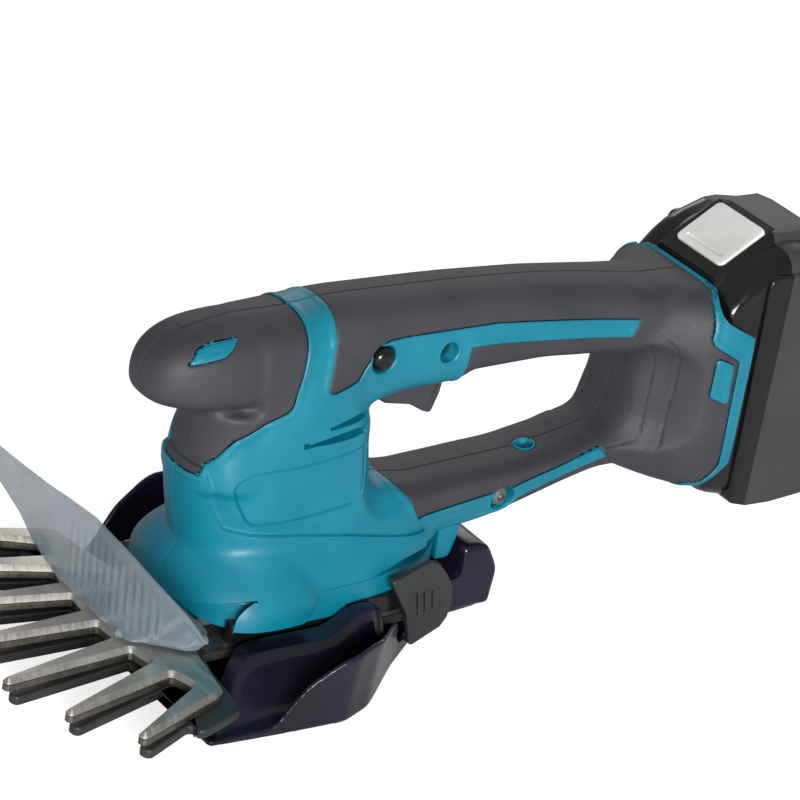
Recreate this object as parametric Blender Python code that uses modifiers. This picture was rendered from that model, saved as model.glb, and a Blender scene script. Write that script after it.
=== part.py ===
"""Cordless comb trimmer: a D-handled 18 V garden shear with a fan of scissor teeth.

The front, with the blades, points along -X, the tool's left side is -Y and +Z is up.
The origin lies under the middle of the tool, on the plane that the height skirt stands on.
All shapes are modelled in millimetres about the blade pivot, and place() turns them to metres.
"""

import math

import bmesh
import bpy
from mathutils import Matrix, Vector

METRES = 0.001

# Points closer than this after a cut are one point
MERGE_DISTANCE = 0.003

# Faces that meet at less than this angle are one face
FLAT_ANGLE = math.radians(0.6)

# Overall reach, measured from the blade pivot
TIP_REACH = 184.0
REAR_REACH = 170.0

# Clearances
SEAM_GAP = 0.3
RUN_GAP = 0.5

# Blade set
TEETH = 7
TOOTH_PITCH = math.radians(8.5)
ROOT_RADIUS = 131.0
TOOTH_ROOT_WIDTH = 10.0
TOOTH_TIP_WIDTH = 3.6
TIP_ARC_RADIUS = 104.0
COMB_BACK_X = -104.0
TOOTH_TIP_CUT = 0.9

# Step from the outer tooth's root to the plate's back corner
PLATE_CORNER_STEP = (4.5, -3.2)

# The tang's round end: place along X and share of the tang's half width
TANG_END = ((-14, 1.0), (4, 0.62), (8, 0.3))
TANG_HALF_WIDTH = 17.0
LOWER_TANG_HALF_WIDTH = 30.0
BLADE_THICKNESS = 2.3
EDGE_BEVEL = 1.1
SWING = math.radians(2.2)

# Guard under the blades
FINGER_THICKNESS = 3.6
FINGER_ROOT_WIDTH = 13.0
FINGER_TIP_WIDTH = 7.0
FINGER_SET_BACK = 3.0
GUARD_BOTTOM = 10.6
GUARD_SHOULDER = 10.0

# Pivot and gear train
PIVOT_PIN_RADIUS = 4.0
GEAR_MODULE = 1.0
PINION_TEETH = 8
CRANK_TEETH = 32
GEAR_THICKNESS = 5.0
PRESSURE_ANGLE = math.radians(20)
CRANK_X = -58.0
CRANK_PIN_RADIUS = 3.0
CRANK_THROW = 2.2
CRANK_SHAFT_RADIUS = 4.0
BEARING_RADIUS = 9.0
BEARING_WIDTH = 6.0
CASE_FLOOR = 3.0

# Motor
MOTOR_RADIUS = 16.5
MOTOR_LENGTH = 48.0
MOTOR_SHAFT_RADIUS = 2.0
MOTOR_BOTTOM = 42.0

# Gear case and cover under the housing
CASE_FRONT = -99.0
CASE_REAR = 8.0
CASE_BELLY = -70.0
CASE_HALF_WIDTH = 32.0
CASE_HEIGHT = 12.0
CASE_POWER = 2.6
COVER_THICKNESS = 2.9
COVER_HALF_WIDTH = 29.0
COVER_SCREWS = ((-80.0, 26.0), (-30.0, 22.0))
SCREW_RADIUS = 1.6
SCREW_HEAD_RADIUS = 3.4
SCREW_LENGTH = 18.0

# Housing and D-handle
FLANGE_HALF_WIDTH = 43.0
FLANGE_BOTTOM = 24.3
FLANGE_WALL = 3.5
BODY_HALF_WIDTH = 24.5
KNOB_HALF_WIDTH = 19.5
HANDLE_HALF_WIDTH = 18.0
BAR_HALF_WIDTH = 16.0
HOOD_HALF_WIDTH = 36.0
GRIP_SKIN = 2.4
OVERMOULD_GAP = 0.3
INLAY_DEPTH = 1.2

# Controls
TRIGGER_HALF_WIDTH = 7.0
TRIGGER_HINGE = (-26.0, 97.5)
TRIGGER_PIN_RADIUS = 1.5
SWITCH_SIZE = (22.0, 14.0, 12.0)
SWITCH_CORNER = (3.0, 104.4)
LOCK_OFF_CENTRE = (-36.1, 114.9)
LOCK_OFF_RADIUS = 4.6
LOCK_OFF_REACH = 21.0
LOCK_OFF_TRAVEL = 3.0
HOUSING_SCREWS = ((-6.8, 112.9, 4.0), (32.8, 45.4, 5.5))
SCREW_RECESS_DEPTH = 3.5

# Battery
BATTERY_HALF_WIDTH = 37.5
BATTERY_TONGUE_HALF_WIDTH = 31.5
BATTERY_LENGTH = 64.4
BATTERY_CASE_LENGTH = 46.7
BATTERY_SHELL_LENGTH = 36.0
BATTERY_FRONT_X = REAR_REACH - BATTERY_LENGTH
BATTERY_FACE_X = REAR_REACH - BATTERY_CASE_LENGTH
BATTERY_SEAM_X = REAR_REACH - BATTERY_SHELL_LENGTH
BATTERY_GAP = 0.4
CROWN_HALF_WIDTH = 17.0
CROWN_TOP = 141.0
SLOPE_FOOT = 121.3
SLOPE_LENGTH = 32.4
SLOPE_TOP_X = BATTERY_FRONT_X + SLOPE_LENGTH
BUTTON_X = BATTERY_FRONT_X + 0.6 * SLOPE_LENGTH
BUTTON_SIZE = 23.0
BUTTON_HEIGHT = 3.0
BUTTON_TRAVEL = 3.5
RAIL_X = BATTERY_FRONT_X + 8.4
RAIL_WIDTH = 4.0
RAIL_DEPTH = 2.2
RAIL_TOP = 105.0
RAIL_BOTTOM = 57.0
TERMINAL_HALF_WIDTH = 20.0
TERMINAL_BACK_X = BATTERY_FRONT_X - 10.6
TERMINAL_SPAN = (58.0, 102.0)
BAY_FRONT_X = BATTERY_FRONT_X - 1.1

# Height skirt
SKIRT_HALF_WIDTH = 67.0
SKIRT_WALL = 2.0
SKIRT_RIM = 30.0
SOLE_FRONT = -119.0
SOLE_THICKNESS = 2.0
GUIDE_HEIGHT = 26.0
DECK_HEIGHT = 19.4
GUIDE_FRONT = -84.0
GUIDE_REAR = -34.0
GUIDE_WINDOW = (-69.0, -51.0)
TAIL_HALF_WIDTH = 17.0
TAIL_FRONT = 9.0
TAIL_STEP = 18.0
TAIL_REAR = 36.0
TAIL_TOP = 28.0
CLIP_CENTRE = (-15.0, 20.0)
CLIP_OUTER_Y = 36.5
CLIP_THICKNESS = 3.0
CLIP_TRAVEL = 2.0

# Scoop
SCOOP_X = -130.0
SCOOP_WALL = 2.0
SCOOP_FOOT_HALF_WIDTH = 28.0

# Levels that stack from the guard upwards
GUARD_TOP = GUARD_BOTTOM + FINGER_THICKNESS
LOWER_BLADE_BOTTOM = GUARD_TOP + SEAM_GAP
LOWER_BLADE_TOP = LOWER_BLADE_BOTTOM + BLADE_THICKNESS
UPPER_BLADE_BOTTOM = LOWER_BLADE_TOP + SEAM_GAP
UPPER_BLADE_TOP = UPPER_BLADE_BOTTOM + BLADE_THICKNESS
CASE_BOTTOM = UPPER_BLADE_TOP + RUN_GAP
CASE_TOP = CASE_BOTTOM + CASE_HEIGHT
HOUSING_BOTTOM = CASE_TOP + SEAM_GAP
COVER_TOP = GUARD_BOTTOM - SEAM_GAP
COVER_BOTTOM = COVER_TOP - COVER_THICKNESS
GEAR_BOTTOM = CASE_BOTTOM + CASE_FLOOR + RUN_GAP
GEAR_TOP = GEAR_BOTTOM + GEAR_THICKNESS
BEARING_BOTTOM = HOUSING_BOTTOM + RUN_GAP
BEARING_TOP = BEARING_BOTTOM + BEARING_WIDTH

# The motor stands over the pinion, one centre distance in front of the crank
MOTOR_X = CRANK_X - GEAR_MODULE * (PINION_TEETH + CRANK_TEETH) / 2

# The tool is modelled about its pivot and then centred over the origin
CENTRE_SHIFT = (TIP_REACH - REAR_REACH) / 2


def rgb(code):
    """Linear colour from an sRGB hex string."""
    def channel(text):
        value = int(text, 16) / 255
        return value / 12.92 if value <= 0.04045 else ((value + 0.055) / 1.055) ** 2.4
    return tuple(channel(code[i:i + 2]) for i in (0, 2, 4))


def material(name, code, roughness, metallic=0.0, alpha=1.0):
    """A Principled material in one plain colour."""
    mat = bpy.data.materials.new(name)
    mat.use_nodes = True
    shader = mat.node_tree.nodes["Principled BSDF"]
    shader.inputs["Base Color"].default_value = (*rgb(code), 1.0)
    shader.inputs["Roughness"].default_value = roughness
    shader.inputs["Metallic"].default_value = metallic
    shader.inputs["Alpha"].default_value = alpha
    mat.diffuse_color = (*rgb(code), alpha)
    return mat


def teal(name):
    return material(name, "00829B", 0.42)


def charcoal(name):
    return material(name, "3C3C41", 0.62)


def black_gloss(name):
    return material(name, "17181A", 0.18)


def dark_plastic(name):
    return material(name, "2A2C2C", 0.4)


def steel(name):
    return material(name, "96948C", 0.35, metallic=1.0)


# Building blocks


def solid(bm):
    """A new shape from a bmesh, with its faces turned outwards."""
    bmesh.ops.recalc_face_normals(bm, faces=bm.faces)
    mesh = bpy.data.meshes.new("shape")
    bm.to_mesh(mesh)
    bm.free()
    obj = bpy.data.objects.new("shape", mesh)
    bpy.context.scene.collection.objects.link(obj)
    return obj


def prism(outline, low, high, plane="XZ"):
    """An outline in the XZ or XY plane, extruded from low to high across it."""
    bm = bmesh.new()
    if plane == "XZ":
        corners = [bm.verts.new((x, low, z)) for x, z in outline]
        step = (0, high - low, 0)
    else:
        corners = [bm.verts.new((x, y, low)) for x, y in outline]
        step = (0, 0, high - low)
    face = bm.faces.new(corners)
    made = bmesh.ops.extrude_face_region(bm, geom=[face])
    moved = [item for item in made["geom"] if isinstance(item, bmesh.types.BMVert)]
    bmesh.ops.translate(bm, vec=step, verts=moved)
    return solid(bm)


def box(x_range, y_range, z_range):
    """A block between two corners."""
    bm = bmesh.new()
    bmesh.ops.create_cube(bm, size=1.0)
    low = Vector((x_range[0], y_range[0], z_range[0]))
    high = Vector((x_range[1], y_range[1], z_range[1]))
    bmesh.ops.scale(bm, vec=high - low, verts=bm.verts)
    bmesh.ops.translate(bm, vec=(low + high) / 2, verts=bm.verts)
    return solid(bm)


def cylinder(radius, low, high, x=0.0, y=0.0, top_radius=None, segments=32):
    """An upright round bar or cone."""
    bm = bmesh.new()
    top = radius if top_radius is None else top_radius
    bmesh.ops.create_cone(bm, cap_ends=True, segments=segments, radius1=radius, radius2=top,
                          depth=high - low)
    bmesh.ops.translate(bm, vec=(x, y, (low + high) / 2), verts=bm.verts)
    return solid(bm)


def turned(profile, x=0.0, y=0.0, segments=28):
    """A profile of (radius, height) pairs, from top to bottom, turned about an upright axis."""
    closed = profile[0] == profile[-1]
    points = profile[:-1] if closed else profile
    edges = [(i, i + 1) for i in range(len(points) - 1)]
    if closed:
        edges.append((len(points) - 1, 0))
    mesh = bpy.data.meshes.new("profile")
    mesh.from_pydata([(radius, 0, z) for radius, z in points], edges, [])
    obj = bpy.data.objects.new("shape", mesh)
    bpy.context.scene.collection.objects.link(obj)
    screw = obj.modifiers.new("turn", "SCREW")
    screw.steps = segments
    screw.render_steps = segments
    screw.use_merge_vertices = True
    screw.merge_threshold = 0.0001
    apply_modifiers(obj)
    obj.data.transform(Matrix.Translation((x, y, 0)))
    return obj


def laid_across(obj, x, z):
    """Turn an upright round shape so that its top points along +Y, and set it at x and z."""
    obj.data.transform(Matrix.Translation((x, 0, z)) @ Matrix.Rotation(math.radians(-90), 4, "X"))
    return obj


def loft(rings):
    """A closed skin over rings of equally many points, with flat ends."""
    bm = bmesh.new()
    levels = [[bm.verts.new(point) for point in ring] for ring in rings]
    count = len(levels[0])
    for lower, upper in zip(levels, levels[1:]):
        for i in range(count):
            j = (i + 1) % count
            bm.faces.new((lower[i], lower[j], upper[j], upper[i]))
    bmesh.ops.triangulate(bm, faces=bm.faces)
    bm.faces.new(list(reversed(levels[0])))
    bm.faces.new(levels[-1])
    return solid(bm)


def apply_modifiers(obj):
    """Replace an object's mesh with the one its modifiers make."""
    depsgraph = bpy.context.evaluated_depsgraph_get()
    mesh = bpy.data.meshes.new_from_object(obj.evaluated_get(depsgraph))
    obj.modifiers.clear()
    obj.data = mesh
    return obj


def boolean(target, tool, operation):
    """Cut, join or trim a target with a tool, which is then removed."""
    modifier = target.modifiers.new(operation.lower(), "BOOLEAN")
    modifier.operation = operation
    modifier.solver = "EXACT"
    modifier.object = tool
    apply_modifiers(target)
    bpy.data.objects.remove(tool, do_unlink=True)
    bm = bmesh.new()
    bm.from_mesh(target.data)
    bmesh.ops.remove_doubles(bm, verts=bm.verts, dist=MERGE_DISTANCE)
    bmesh.ops.dissolve_degenerate(bm, edges=bm.edges, dist=MERGE_DISTANCE)
    bm.to_mesh(target.data)
    bm.free()
    return target


def join(target, *tools):
    """Fuse shapes into one."""
    for tool in tools:
        boolean(target, tool, "UNION")
    return target


def cut(target, *tools):
    """Remove shapes from a target."""
    for tool in tools:
        boolean(target, tool, "DIFFERENCE")
    return target


def trim(target, tool):
    """Keep only what lies inside the tool."""
    return boolean(target, tool, "INTERSECT")


def copy(obj):
    """A second object with its own mesh."""
    twin = obj.copy()
    twin.data = obj.data.copy()
    bpy.context.scene.collection.objects.link(twin)
    return twin


def mirrored(obj):
    """A copy on the other side of the middle plane."""
    twin = copy(obj)
    twin.data.transform(Matrix.Scale(-1, 4, (0, 1, 0)))
    twin.data.flip_normals()
    return twin


def place(obj, name, finish, pivot=(0.0, 0.0, 0.0)):
    """Name a finished shape, give it its finish and set its origin at a pivot, in metres."""
    bm = bmesh.new()
    bm.from_mesh(obj.data)
    bmesh.ops.dissolve_limit(bm, angle_limit=FLAT_ANGLE, verts=bm.verts, edges=bm.edges)
    bm.to_mesh(obj.data)
    bm.free()
    obj.data.transform(Matrix.Scale(METRES, 4) @ Matrix.Translation(-Vector(pivot)))
    obj.location = Vector(pivot) * METRES
    obj.name = name
    obj.data.name = name
    obj.data.materials.clear()
    obj.data.materials.append(finish(name))
    obj.data.shade_smooth()
    obj.data.set_sharp_from_angle(angle=math.radians(32))
    obj.parent = bpy.data.objects["assembly"]
    bpy.context.scene.collection.objects.unlink(obj)
    bpy.data.collections["comb_trimmer"].objects.link(obj)
    return obj


# Outlines


def rounded(corners, steps=3):
    """An outline whose corners, given as (a, b, radius), are rounded with arcs."""
    points = []
    for i, (a, b, radius) in enumerate(corners):
        here = Vector((a, b))
        if radius == 0:
            points.append(tuple(here))
            continue
        to_last = (Vector(corners[i - 1][:2]) - here).normalized()
        to_next = (Vector(corners[(i + 1) % len(corners)][:2]) - here).normalized()
        half = to_last.angle(to_next) / 2
        centre = here + (to_last + to_next).normalized() * (radius / math.sin(half))
        first = here + to_last * (radius / math.tan(half)) - centre
        last = here + to_next * (radius / math.tan(half)) - centre
        start = math.atan2(first.y, first.x)
        sweep = (math.atan2(last.y, last.x) - start + math.pi) % (2 * math.pi) - math.pi
        for k in range(steps + 1):
            angle = start + sweep * k / steps
            points.append(tuple(centre + radius * Vector((math.cos(angle), math.sin(angle)))))
    return points


def grown(outline, distance):
    """The outline moved outwards all round by a distance."""
    area = sum(a[0] * b[1] - b[0] * a[1] for a, b in zip(outline, outline[1:] + outline[:1]))
    turn = 1 if area > 0 else -1
    points = []
    for i, point in enumerate(outline):
        before = (Vector(point) - Vector(outline[i - 1])).normalized()
        after = (Vector(outline[(i + 1) % len(outline)]) - Vector(point)).normalized()
        normal = Vector((before.y + after.y, -before.x - after.x)).normalized() * turn
        spread = max(0.5, normal.dot(Vector((before.y, -before.x)) * turn))
        points.append(tuple(Vector(point) + normal * distance / spread))
    return points


def superellipse(angle, power):
    """Point of a unit superellipse at an angle."""
    return tuple(math.copysign(abs(value) ** (2 / power), value)
                 for value in (math.cos(angle), math.sin(angle)))


def plan(front, rear, belly, half_width, power, count=24):
    """A level outline that is widest at belly and rounded towards both ends."""
    points = []
    for i in range(count):
        along, across = superellipse(2 * math.pi * i / count, power)
        reach = (rear - belly) if along > 0 else (belly - front)
        points.append((belly + along * reach, across * half_width))
    return points


def upright_loft(sections, inset=0.0, count=20):
    """A skin over level sections (z, front, rear, belly, half width, power), shrunk by inset."""
    middle = (sections[0][0] + sections[-1][0]) / 2
    shrink = 1 - inset / (sections[-1][0] - middle)
    rings = []
    for z, front, rear, belly, half_width, power in sections:
        outline = plan(front + inset, rear - inset, belly, half_width - inset, power, count)
        rings.append([(x, y, middle + (z - middle) * shrink) for x, y in outline])
    return loft(rings)


def long_loft(sections, inset=0.0, count=16):
    """A skin over upright sections (x, bottom, top, half width, power) along X, shrunk by inset."""
    rings = []
    for x, bottom, top, half_width, power in sections:
        middle = (bottom + top) / 2
        ring = []
        for i in range(count):
            across, upward = superellipse(2 * math.pi * (i + 0.5) / count, power)
            ring.append((x, across * (half_width - inset), middle + upward * (top - middle - inset)))
        rings.append(ring)
    return loft(rings)


# Housing


def aft(rows):
    """Rows that start with a place along X, drawn for one rear reach and moved with the real one.

    The handle stretches between two places, and all that lies behind them moves as one.
    """
    drawn_reach = 170.0
    stretch_front = 40.0
    stretch_rear = 90.0
    moved = []
    for x, *rest in rows:
        share = min(max((x - stretch_front) / (stretch_rear - stretch_front), 0.0), 1.0)
        moved.append((x + share * (REAR_REACH - drawn_reach), *rest))
    return moved


def flange_sections():
    """Level sections of the flange that spreads over the blades."""
    flange = FLANGE_HALF_WIDTH
    return (
        (FLANGE_BOTTOM, -102.5, -50, -76, flange - 1.5, 2.05),
        (31, -104, -46, -76, flange, 2.05),
        (35, -103.5, -46, -76, flange - 1, 2.1),
        (38, -102, -48, -76, flange - 5, 2.0),
        (42, -99.5, -52, -75, flange - 11, 2.1),
        (47, -97, -55, -74, flange - 17, 2.2),
    )


def body_sections():
    """Level sections of the teal body, from the gear case up into the handle."""
    body = BODY_HALF_WIDTH
    return (
        (28, -97, 10, -60, body + 8, 2.2),
        (36, -98, 12, -60, body + 8, 2.2),
        (42, -98.5, 9, -62, body + 4, 2.2),
        (49, -100.5, 4, -64, body + 1, 2.2),
        (57, -102.5, -4, -64, body, 2.25),
        (70, -105, -12, -60, body, 2.3),
        (84, -103, -28, -60, body, 2.4),
        (97, -98, -34, -60, body - 1, 2.4),
        (112, -84, -30, -57, body - 3, 2.5),
        (126, -70, -40, -55, body - 6.5, 2.5),
    )


def knob_sections():
    """Level sections of the front knob."""
    knob = KNOB_HALF_WIDTH
    return (
        (97, -104, -70, -86, knob - 10.5, 2.6),
        (101.2, -109, -66, -86, knob - 7.5, 2.6),
        (102.4, -118.5, -62, -86, knob - 3.5, 2.6),
        (106, -125.2, -60, -86, knob - 0.3, 2.6),
        (112, -125.8, -60, -86, knob, 2.6),
        (118, -125.1, -60, -86, knob - 0.3, 2.6),
        (122, -123, -60, -86, knob - 1.3, 2.6),
        (126, -118.7, -60, -86, knob - 3.5, 2.6),
        (129, -112.3, -60, -86, knob - 6.6, 2.6),
        (131, -103.7, -60, -86, knob - 10.8, 2.6),
        (132.2, -92, -60, -86, knob - 15.5, 2.6),
    )


def neck_sections():
    """Level sections of the neck that carries the knob."""
    neck = BODY_HALF_WIDTH - 2.5
    return (
        (70, -104.5, -60, -84, neck, 2.3),
        (77, -104.5, -50, -84, neck - 0.5, 2.3),
        (85, -101.5, -50, -82, neck - 1.5, 2.4),
        (92, -101, -50, -82, neck - 2, 2.4),
        (100, -104, -50, -82, neck - 2, 2.4),
    )


def handle_sections():
    """Upright sections along the upper handle."""
    grip = HANDLE_HALF_WIDTH
    return aft((
        (-85, 88, 131, grip + 2.5, 2.8),
        (-70, 84, 132, grip + 3, 2.8),
        (-58, 80, 133.5, grip + 2.5, 2.8),
        (-46, 84, 134, grip + 2, 2.8),
        (-34, 92, 133.6, grip + 1, 2.8),
        (-20, 95, 133.3, grip + 0.5, 2.8),
        (3, 95, 132.8, grip, 2.8),
        (40, 95, 130.6, grip - 0.5, 2.8),
        (62, 95, 128, grip, 2.8),
        (78, 95, 125.6, grip + 1.5, 2.8),
        (90, 90, 124, grip + 4, 2.8),
    ))


def bar_sections():
    """Upright sections along the lower bar."""
    bar = BAR_HALF_WIDTH
    return aft((
        (-40, 36, 72, bar + 4, 3),
        (-20, 36, 72, bar + 2, 3),
        (5, 31.5, 73, bar + 0.5, 3),
        (25, 33, 75, bar, 3),
        (42, 37, 78, bar, 3),
        (62, 43, 84, bar + 0.5, 3),
        (78, 47.5, 92, bar + 2, 3),
        (90, 48, 98, bar + 5, 3),
    ))


def hood_sections():
    """Upright sections of the rear block, which spreads into the hood round the battery."""
    hood = HOOD_HALF_WIDTH
    return aft((
        (60, 60, 118, hood - 21, 2.6),
        (68, 56, 122, hood - 19, 2.6),
        (76, 52.5, 123.5, hood - 16.5, 2.7),
        (84, 49, 124, hood - 13.5, 2.8),
        (93, 45, 124, hood - 9, 3),
        (100, 43, 123.8, hood - 4.5, 3.6),
        (106, 42.3, 123.6, hood - 1.5, 4.5),
        (113, 41.5, 123.5, hood, 6),
        (122.6, 41, 123.5, hood, 6),
    ))


def loop_cutter(inset=0.0):
    """The handle's opening, flared so that its edges are rounded."""
    opening = rounded(aft((
        (-34.5, 93, 5), (-33.5, 80, 30), (-27.5, 67.5, 5), (25, 72, 60), (54, 76.5, 20),
        (67, 81, 9), (67, 99, 5), (40, 100.8, 60), (9, 100, 4), (2, 96.5, 4), (-20, 95, 60),
    )))
    flare = ((50, 52), (22, 14), (17, 6), (14, 2), (10, 0))
    levels = [(-y, growth) for y, growth in flare] + [(y, growth) for y, growth in reversed(flare)]
    return loft([[(x, y, z) for x, z in grown(opening, growth + inset)] for y, growth in levels])


def battery_tongue():
    """Side outline of the part of the battery that drops into the hood."""
    inside = BATTERY_FACE_X + 0.7
    return [(BATTERY_FRONT_X, 46), (BATTERY_FRONT_X, 120.5), (inside, 132), (inside, 36.5),
            (BATTERY_FRONT_X + 6.4, 40)]


def tongue_form():
    """The form with round shoulders that the battery's tongue is trimmed to."""
    half = BATTERY_TONGUE_HALF_WIDTH
    return long_loft(((BATTERY_FRONT_X - 10, 10, 116, half, 8), (BATTERY_FRONT_X + 4, 10, 122, half, 8),
                      (BATTERY_FRONT_X + 29, 10, 137, half, 8)), count=24)


def outer_form(inset=0.0):
    """The whole outer form of the housing with its grips, shrunk by inset."""
    form = join(
        upright_loft(body_sections(), inset),
        upright_loft(flange_sections(), inset),
        upright_loft(neck_sections(), inset),
        upright_loft(knob_sections(), inset),
        long_loft(handle_sections(), inset),
        long_loft(bar_sections(), inset),
        long_loft(hood_sections(), inset),
    )
    return cut(form, loop_cutter(inset))


def housing_blank():
    """The outer form, trimmed to its bottom edge, foot and battery bay."""
    blank = outer_form()
    foot_front = CASE_REAR + SEAM_GAP
    foot = prism(rounded(((foot_front, 22, 0), (15, 22, 3), (17.5, 31, 3), (18, 42, 0),
                          (foot_front, 42, 0))), -12, 12)
    below = [(-160, -10), (-160, FLANGE_BOTTOM - 1), (-66, FLANGE_BOTTOM - 1),
             (-56, HOUSING_BOTTOM), (-34, HOUSING_BOTTOM), (-18, 35.5), (4, 36), (60, 20), (60, -10)]
    blank = join(cut(blank, prism(below, -60, 60)), foot)
    slope = aft([(96, 145), (101, 123.8), (104.3, 120), (121.9, 108.8), (132, 103), (132, 145)])
    chamfer = aft([(107, 41.5), (112.8, 44.5), (122.8, 56), (132, 56), (132, 30), (107, 30)])
    bay = [(BAY_FRONT_X, 150), (BAY_FRONT_X, 45.4)] + aft([(109.5, 38.5), (132, 30), (132, 150)])
    bay_half_width = BATTERY_TONGUE_HALF_WIDTH + BATTERY_GAP
    cut(blank, prism(slope, -60, 60), prism(chamfer, -60, 60),
        prism(bay, -bay_half_width, bay_half_width))
    for side in (-1, 1):
        inner = side * (bay_half_width - RAIL_DEPTH + BATTERY_GAP)
        outer = side * (bay_half_width + 1)
        join(blank, box((RAIL_X - RAIL_WIDTH / 2, RAIL_X + RAIL_WIDTH / 2),
                        sorted((inner, outer)), (RAIL_BOTTOM, RAIL_TOP)))
    return blank


def front_zone():
    """Side outline of the soft grip on the knob and its neck."""
    return [(-145, 74), (-103, 76), (-93.5, 91), (-73, 102), (-72, 110), (-69, 124), (-66, 145),
            (-145, 145)]


def rear_zone():
    """Side outline of the soft grip on the handle, the rear block and the lower bar."""
    return aft([
        (-52, 150), (-56.6, 128), (-59.8, 105.7), (-47, 109), (-42, 116), (-38, 120), (-27, 122),
        (14, 121.4), (79, 114.7), (76.5, 107.7), (15, 113.2), (3, 113.4), (3, 85), (-24, 76),
        (-30, 70), (-18.5, 60), (-12, 54), (-7, 45), (26, 48.7), (36, 49.6), (74.4, 60.5),
        (77.7, 56.6), (41, 44.4), (36, 38.8), (24.7, 37), (10, 35.7), (4, 30), (4, 10), (107.8, 10),
        (107.8, 46.2), (112.4, 47.5), (117.7, 55.7), (117, 86), (116.8, 99.8), (105.5, 106.5),
        (103, 108.5), (104.3, 119.7), (104.3, 150),
    ])


def soft_skin(zone, gap):
    """The space of a soft grip: its zone of the side view, less the core that it is moulded on."""
    return cut(prism(grown(zone, gap), -60, 60), outer_form(GRIP_SKIN + gap))


def leaf(gap):
    """Plan of the leaf-shaped inlay on the left of the knob's top."""
    outline = rounded(((-115.2, -14, 0.8), (-110.5, -11.8, 8), (-105, -11.2, 6), (-94.6, -12.1, 1),
                       (-98.6, -15.7, 3), (-103, -16.5, 6)))
    return prism(grown(outline, gap), 112, 140, plane="XY")


def knob_skin(depth):
    """The knob's outer form shrunk by a depth, which the inlay is let into."""
    return upright_loft(knob_sections(), depth)


def motor_space():
    """Pockets in the housing for the motor, its shaft and the crank's bearing."""
    return (
        cylinder(MOTOR_RADIUS + SEAM_GAP, MOTOR_BOTTOM - SEAM_GAP,
                 MOTOR_BOTTOM + MOTOR_LENGTH + SEAM_GAP, MOTOR_X),
        cylinder(MOTOR_SHAFT_RADIUS + RUN_GAP, HOUSING_BOTTOM - 5, MOTOR_BOTTOM + 5, MOTOR_X),
        cylinder(BEARING_RADIUS + SEAM_GAP, HOUSING_BOTTOM - 5, BEARING_TOP + SEAM_GAP, CRANK_X),
    )


def control_spaces():
    """Pockets in the handle for the trigger, its pin, the switch and the lock-off button."""
    length, width, height = SWITCH_SIZE
    x, z = SWITCH_CORNER
    hinge_x, hinge_z = TRIGGER_HINGE
    lock_x, lock_z = LOCK_OFF_CENTRE
    slot = TRIGGER_HALF_WIDTH + RUN_GAP
    return (
        box((hinge_x - 4, x + 2), (-slot, slot), (80, z - 0.8)),
        box((x - SEAM_GAP, x + length + SEAM_GAP), (-width / 2 - SEAM_GAP, width / 2 + SEAM_GAP),
            (z - SEAM_GAP, z + height + SEAM_GAP)),
        laid_across(cylinder(TRIGGER_PIN_RADIUS + SEAM_GAP, -slot - 4, slot + 4, segments=16),
                    hinge_x, hinge_z),
        laid_across(cylinder(LOCK_OFF_RADIUS + SEAM_GAP, -60, 60), lock_x, lock_z),
    )


def screw_spaces():
    """Recesses and bores for the screws that go in from the left side."""
    spaces = []
    for x, z, recess in HOUSING_SCREWS:
        surface = HANDLE_HALF_WIDTH
        spaces.append(laid_across(cylinder(recess, -60, SCREW_RECESS_DEPTH - surface, segments=24),
                                  x, z))
        spaces.append(laid_across(cylinder(SCREW_HEAD_RADIUS + SEAM_GAP, -60,
                                           SCREW_RECESS_DEPTH + 3.3 - surface, segments=20), x, z))
        spaces.append(laid_across(cylinder(SCREW_RADIUS + SEAM_GAP, -surface, 9, segments=16), x, z))
    return spaces


def flange_space():
    """The hollow under the flange and the seat of the gear case."""
    _, front, rear, belly, half_width, power = flange_sections()[0]
    wall = FLANGE_WALL
    hollow = plan(front + wall, rear - wall, belly, half_width - wall, power)
    case = plan(CASE_FRONT - SEAM_GAP, CASE_REAR + SEAM_GAP, CASE_BELLY,
                CASE_HALF_WIDTH + SEAM_GAP, CASE_POWER)
    return (prism(hollow, 0, HOUSING_BOTTOM, plane="XY"), prism(case, 0, HOUSING_BOTTOM, plane="XY"))


def terminal_space(gap=0.0):
    """The pocket in the front wall of the battery bay."""
    half = TERMINAL_HALF_WIDTH + gap
    bottom, top = TERMINAL_SPAN
    return box((TERMINAL_BACK_X - gap, BAY_FRONT_X + gap), (-half, half), (bottom - gap, top + gap))


def left_half(obj):
    """Trim a shape to the left of the middle plane."""
    return trim(obj, box((-220, 220), (-90, -SEAM_GAP / 2), (-20, 220)))


def right_half(obj):
    """Trim a shape to the right of the middle plane."""
    return trim(obj, box((-220, 220), (SEAM_GAP / 2, 90), (-20, 220)))


def make_housing():
    """The two teal housing halves with their soft grips and the knob's inlay."""
    front = trim(housing_blank(), soft_skin(front_zone(), 0.0))
    rear = trim(housing_blank(), soft_skin(rear_zone(), 0.0))
    shell = cut(housing_blank(), soft_skin(front_zone(), OVERMOULD_GAP),
                soft_skin(rear_zone(), OVERMOULD_GAP), *flange_space(), *motor_space(),
                *control_spaces(), terminal_space(SEAM_GAP))
    cut(rear, *control_spaces())
    cut(front, cut(leaf(OVERMOULD_GAP), knob_skin(INLAY_DEPTH + OVERMOULD_GAP)))
    inlay = cut(trim(upright_loft(knob_sections()), leaf(0.0)), knob_skin(INLAY_DEPTH))
    place(inlay, "knob_inlay", teal)
    parts = ((shell, "housing", teal), (front, "front_grip", charcoal), (rear, "rear_grip", charcoal))
    for whole, name, finish in parts:
        right = right_half(copy(whole))
        left = left_half(whole)
        if name != "front_grip":
            cut(left, *screw_spaces())
            cut(right, *screw_spaces())
        place(left, "left_" + name, finish)
        place(right, "right_" + name, finish)


# Blades, guard and covers


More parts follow.
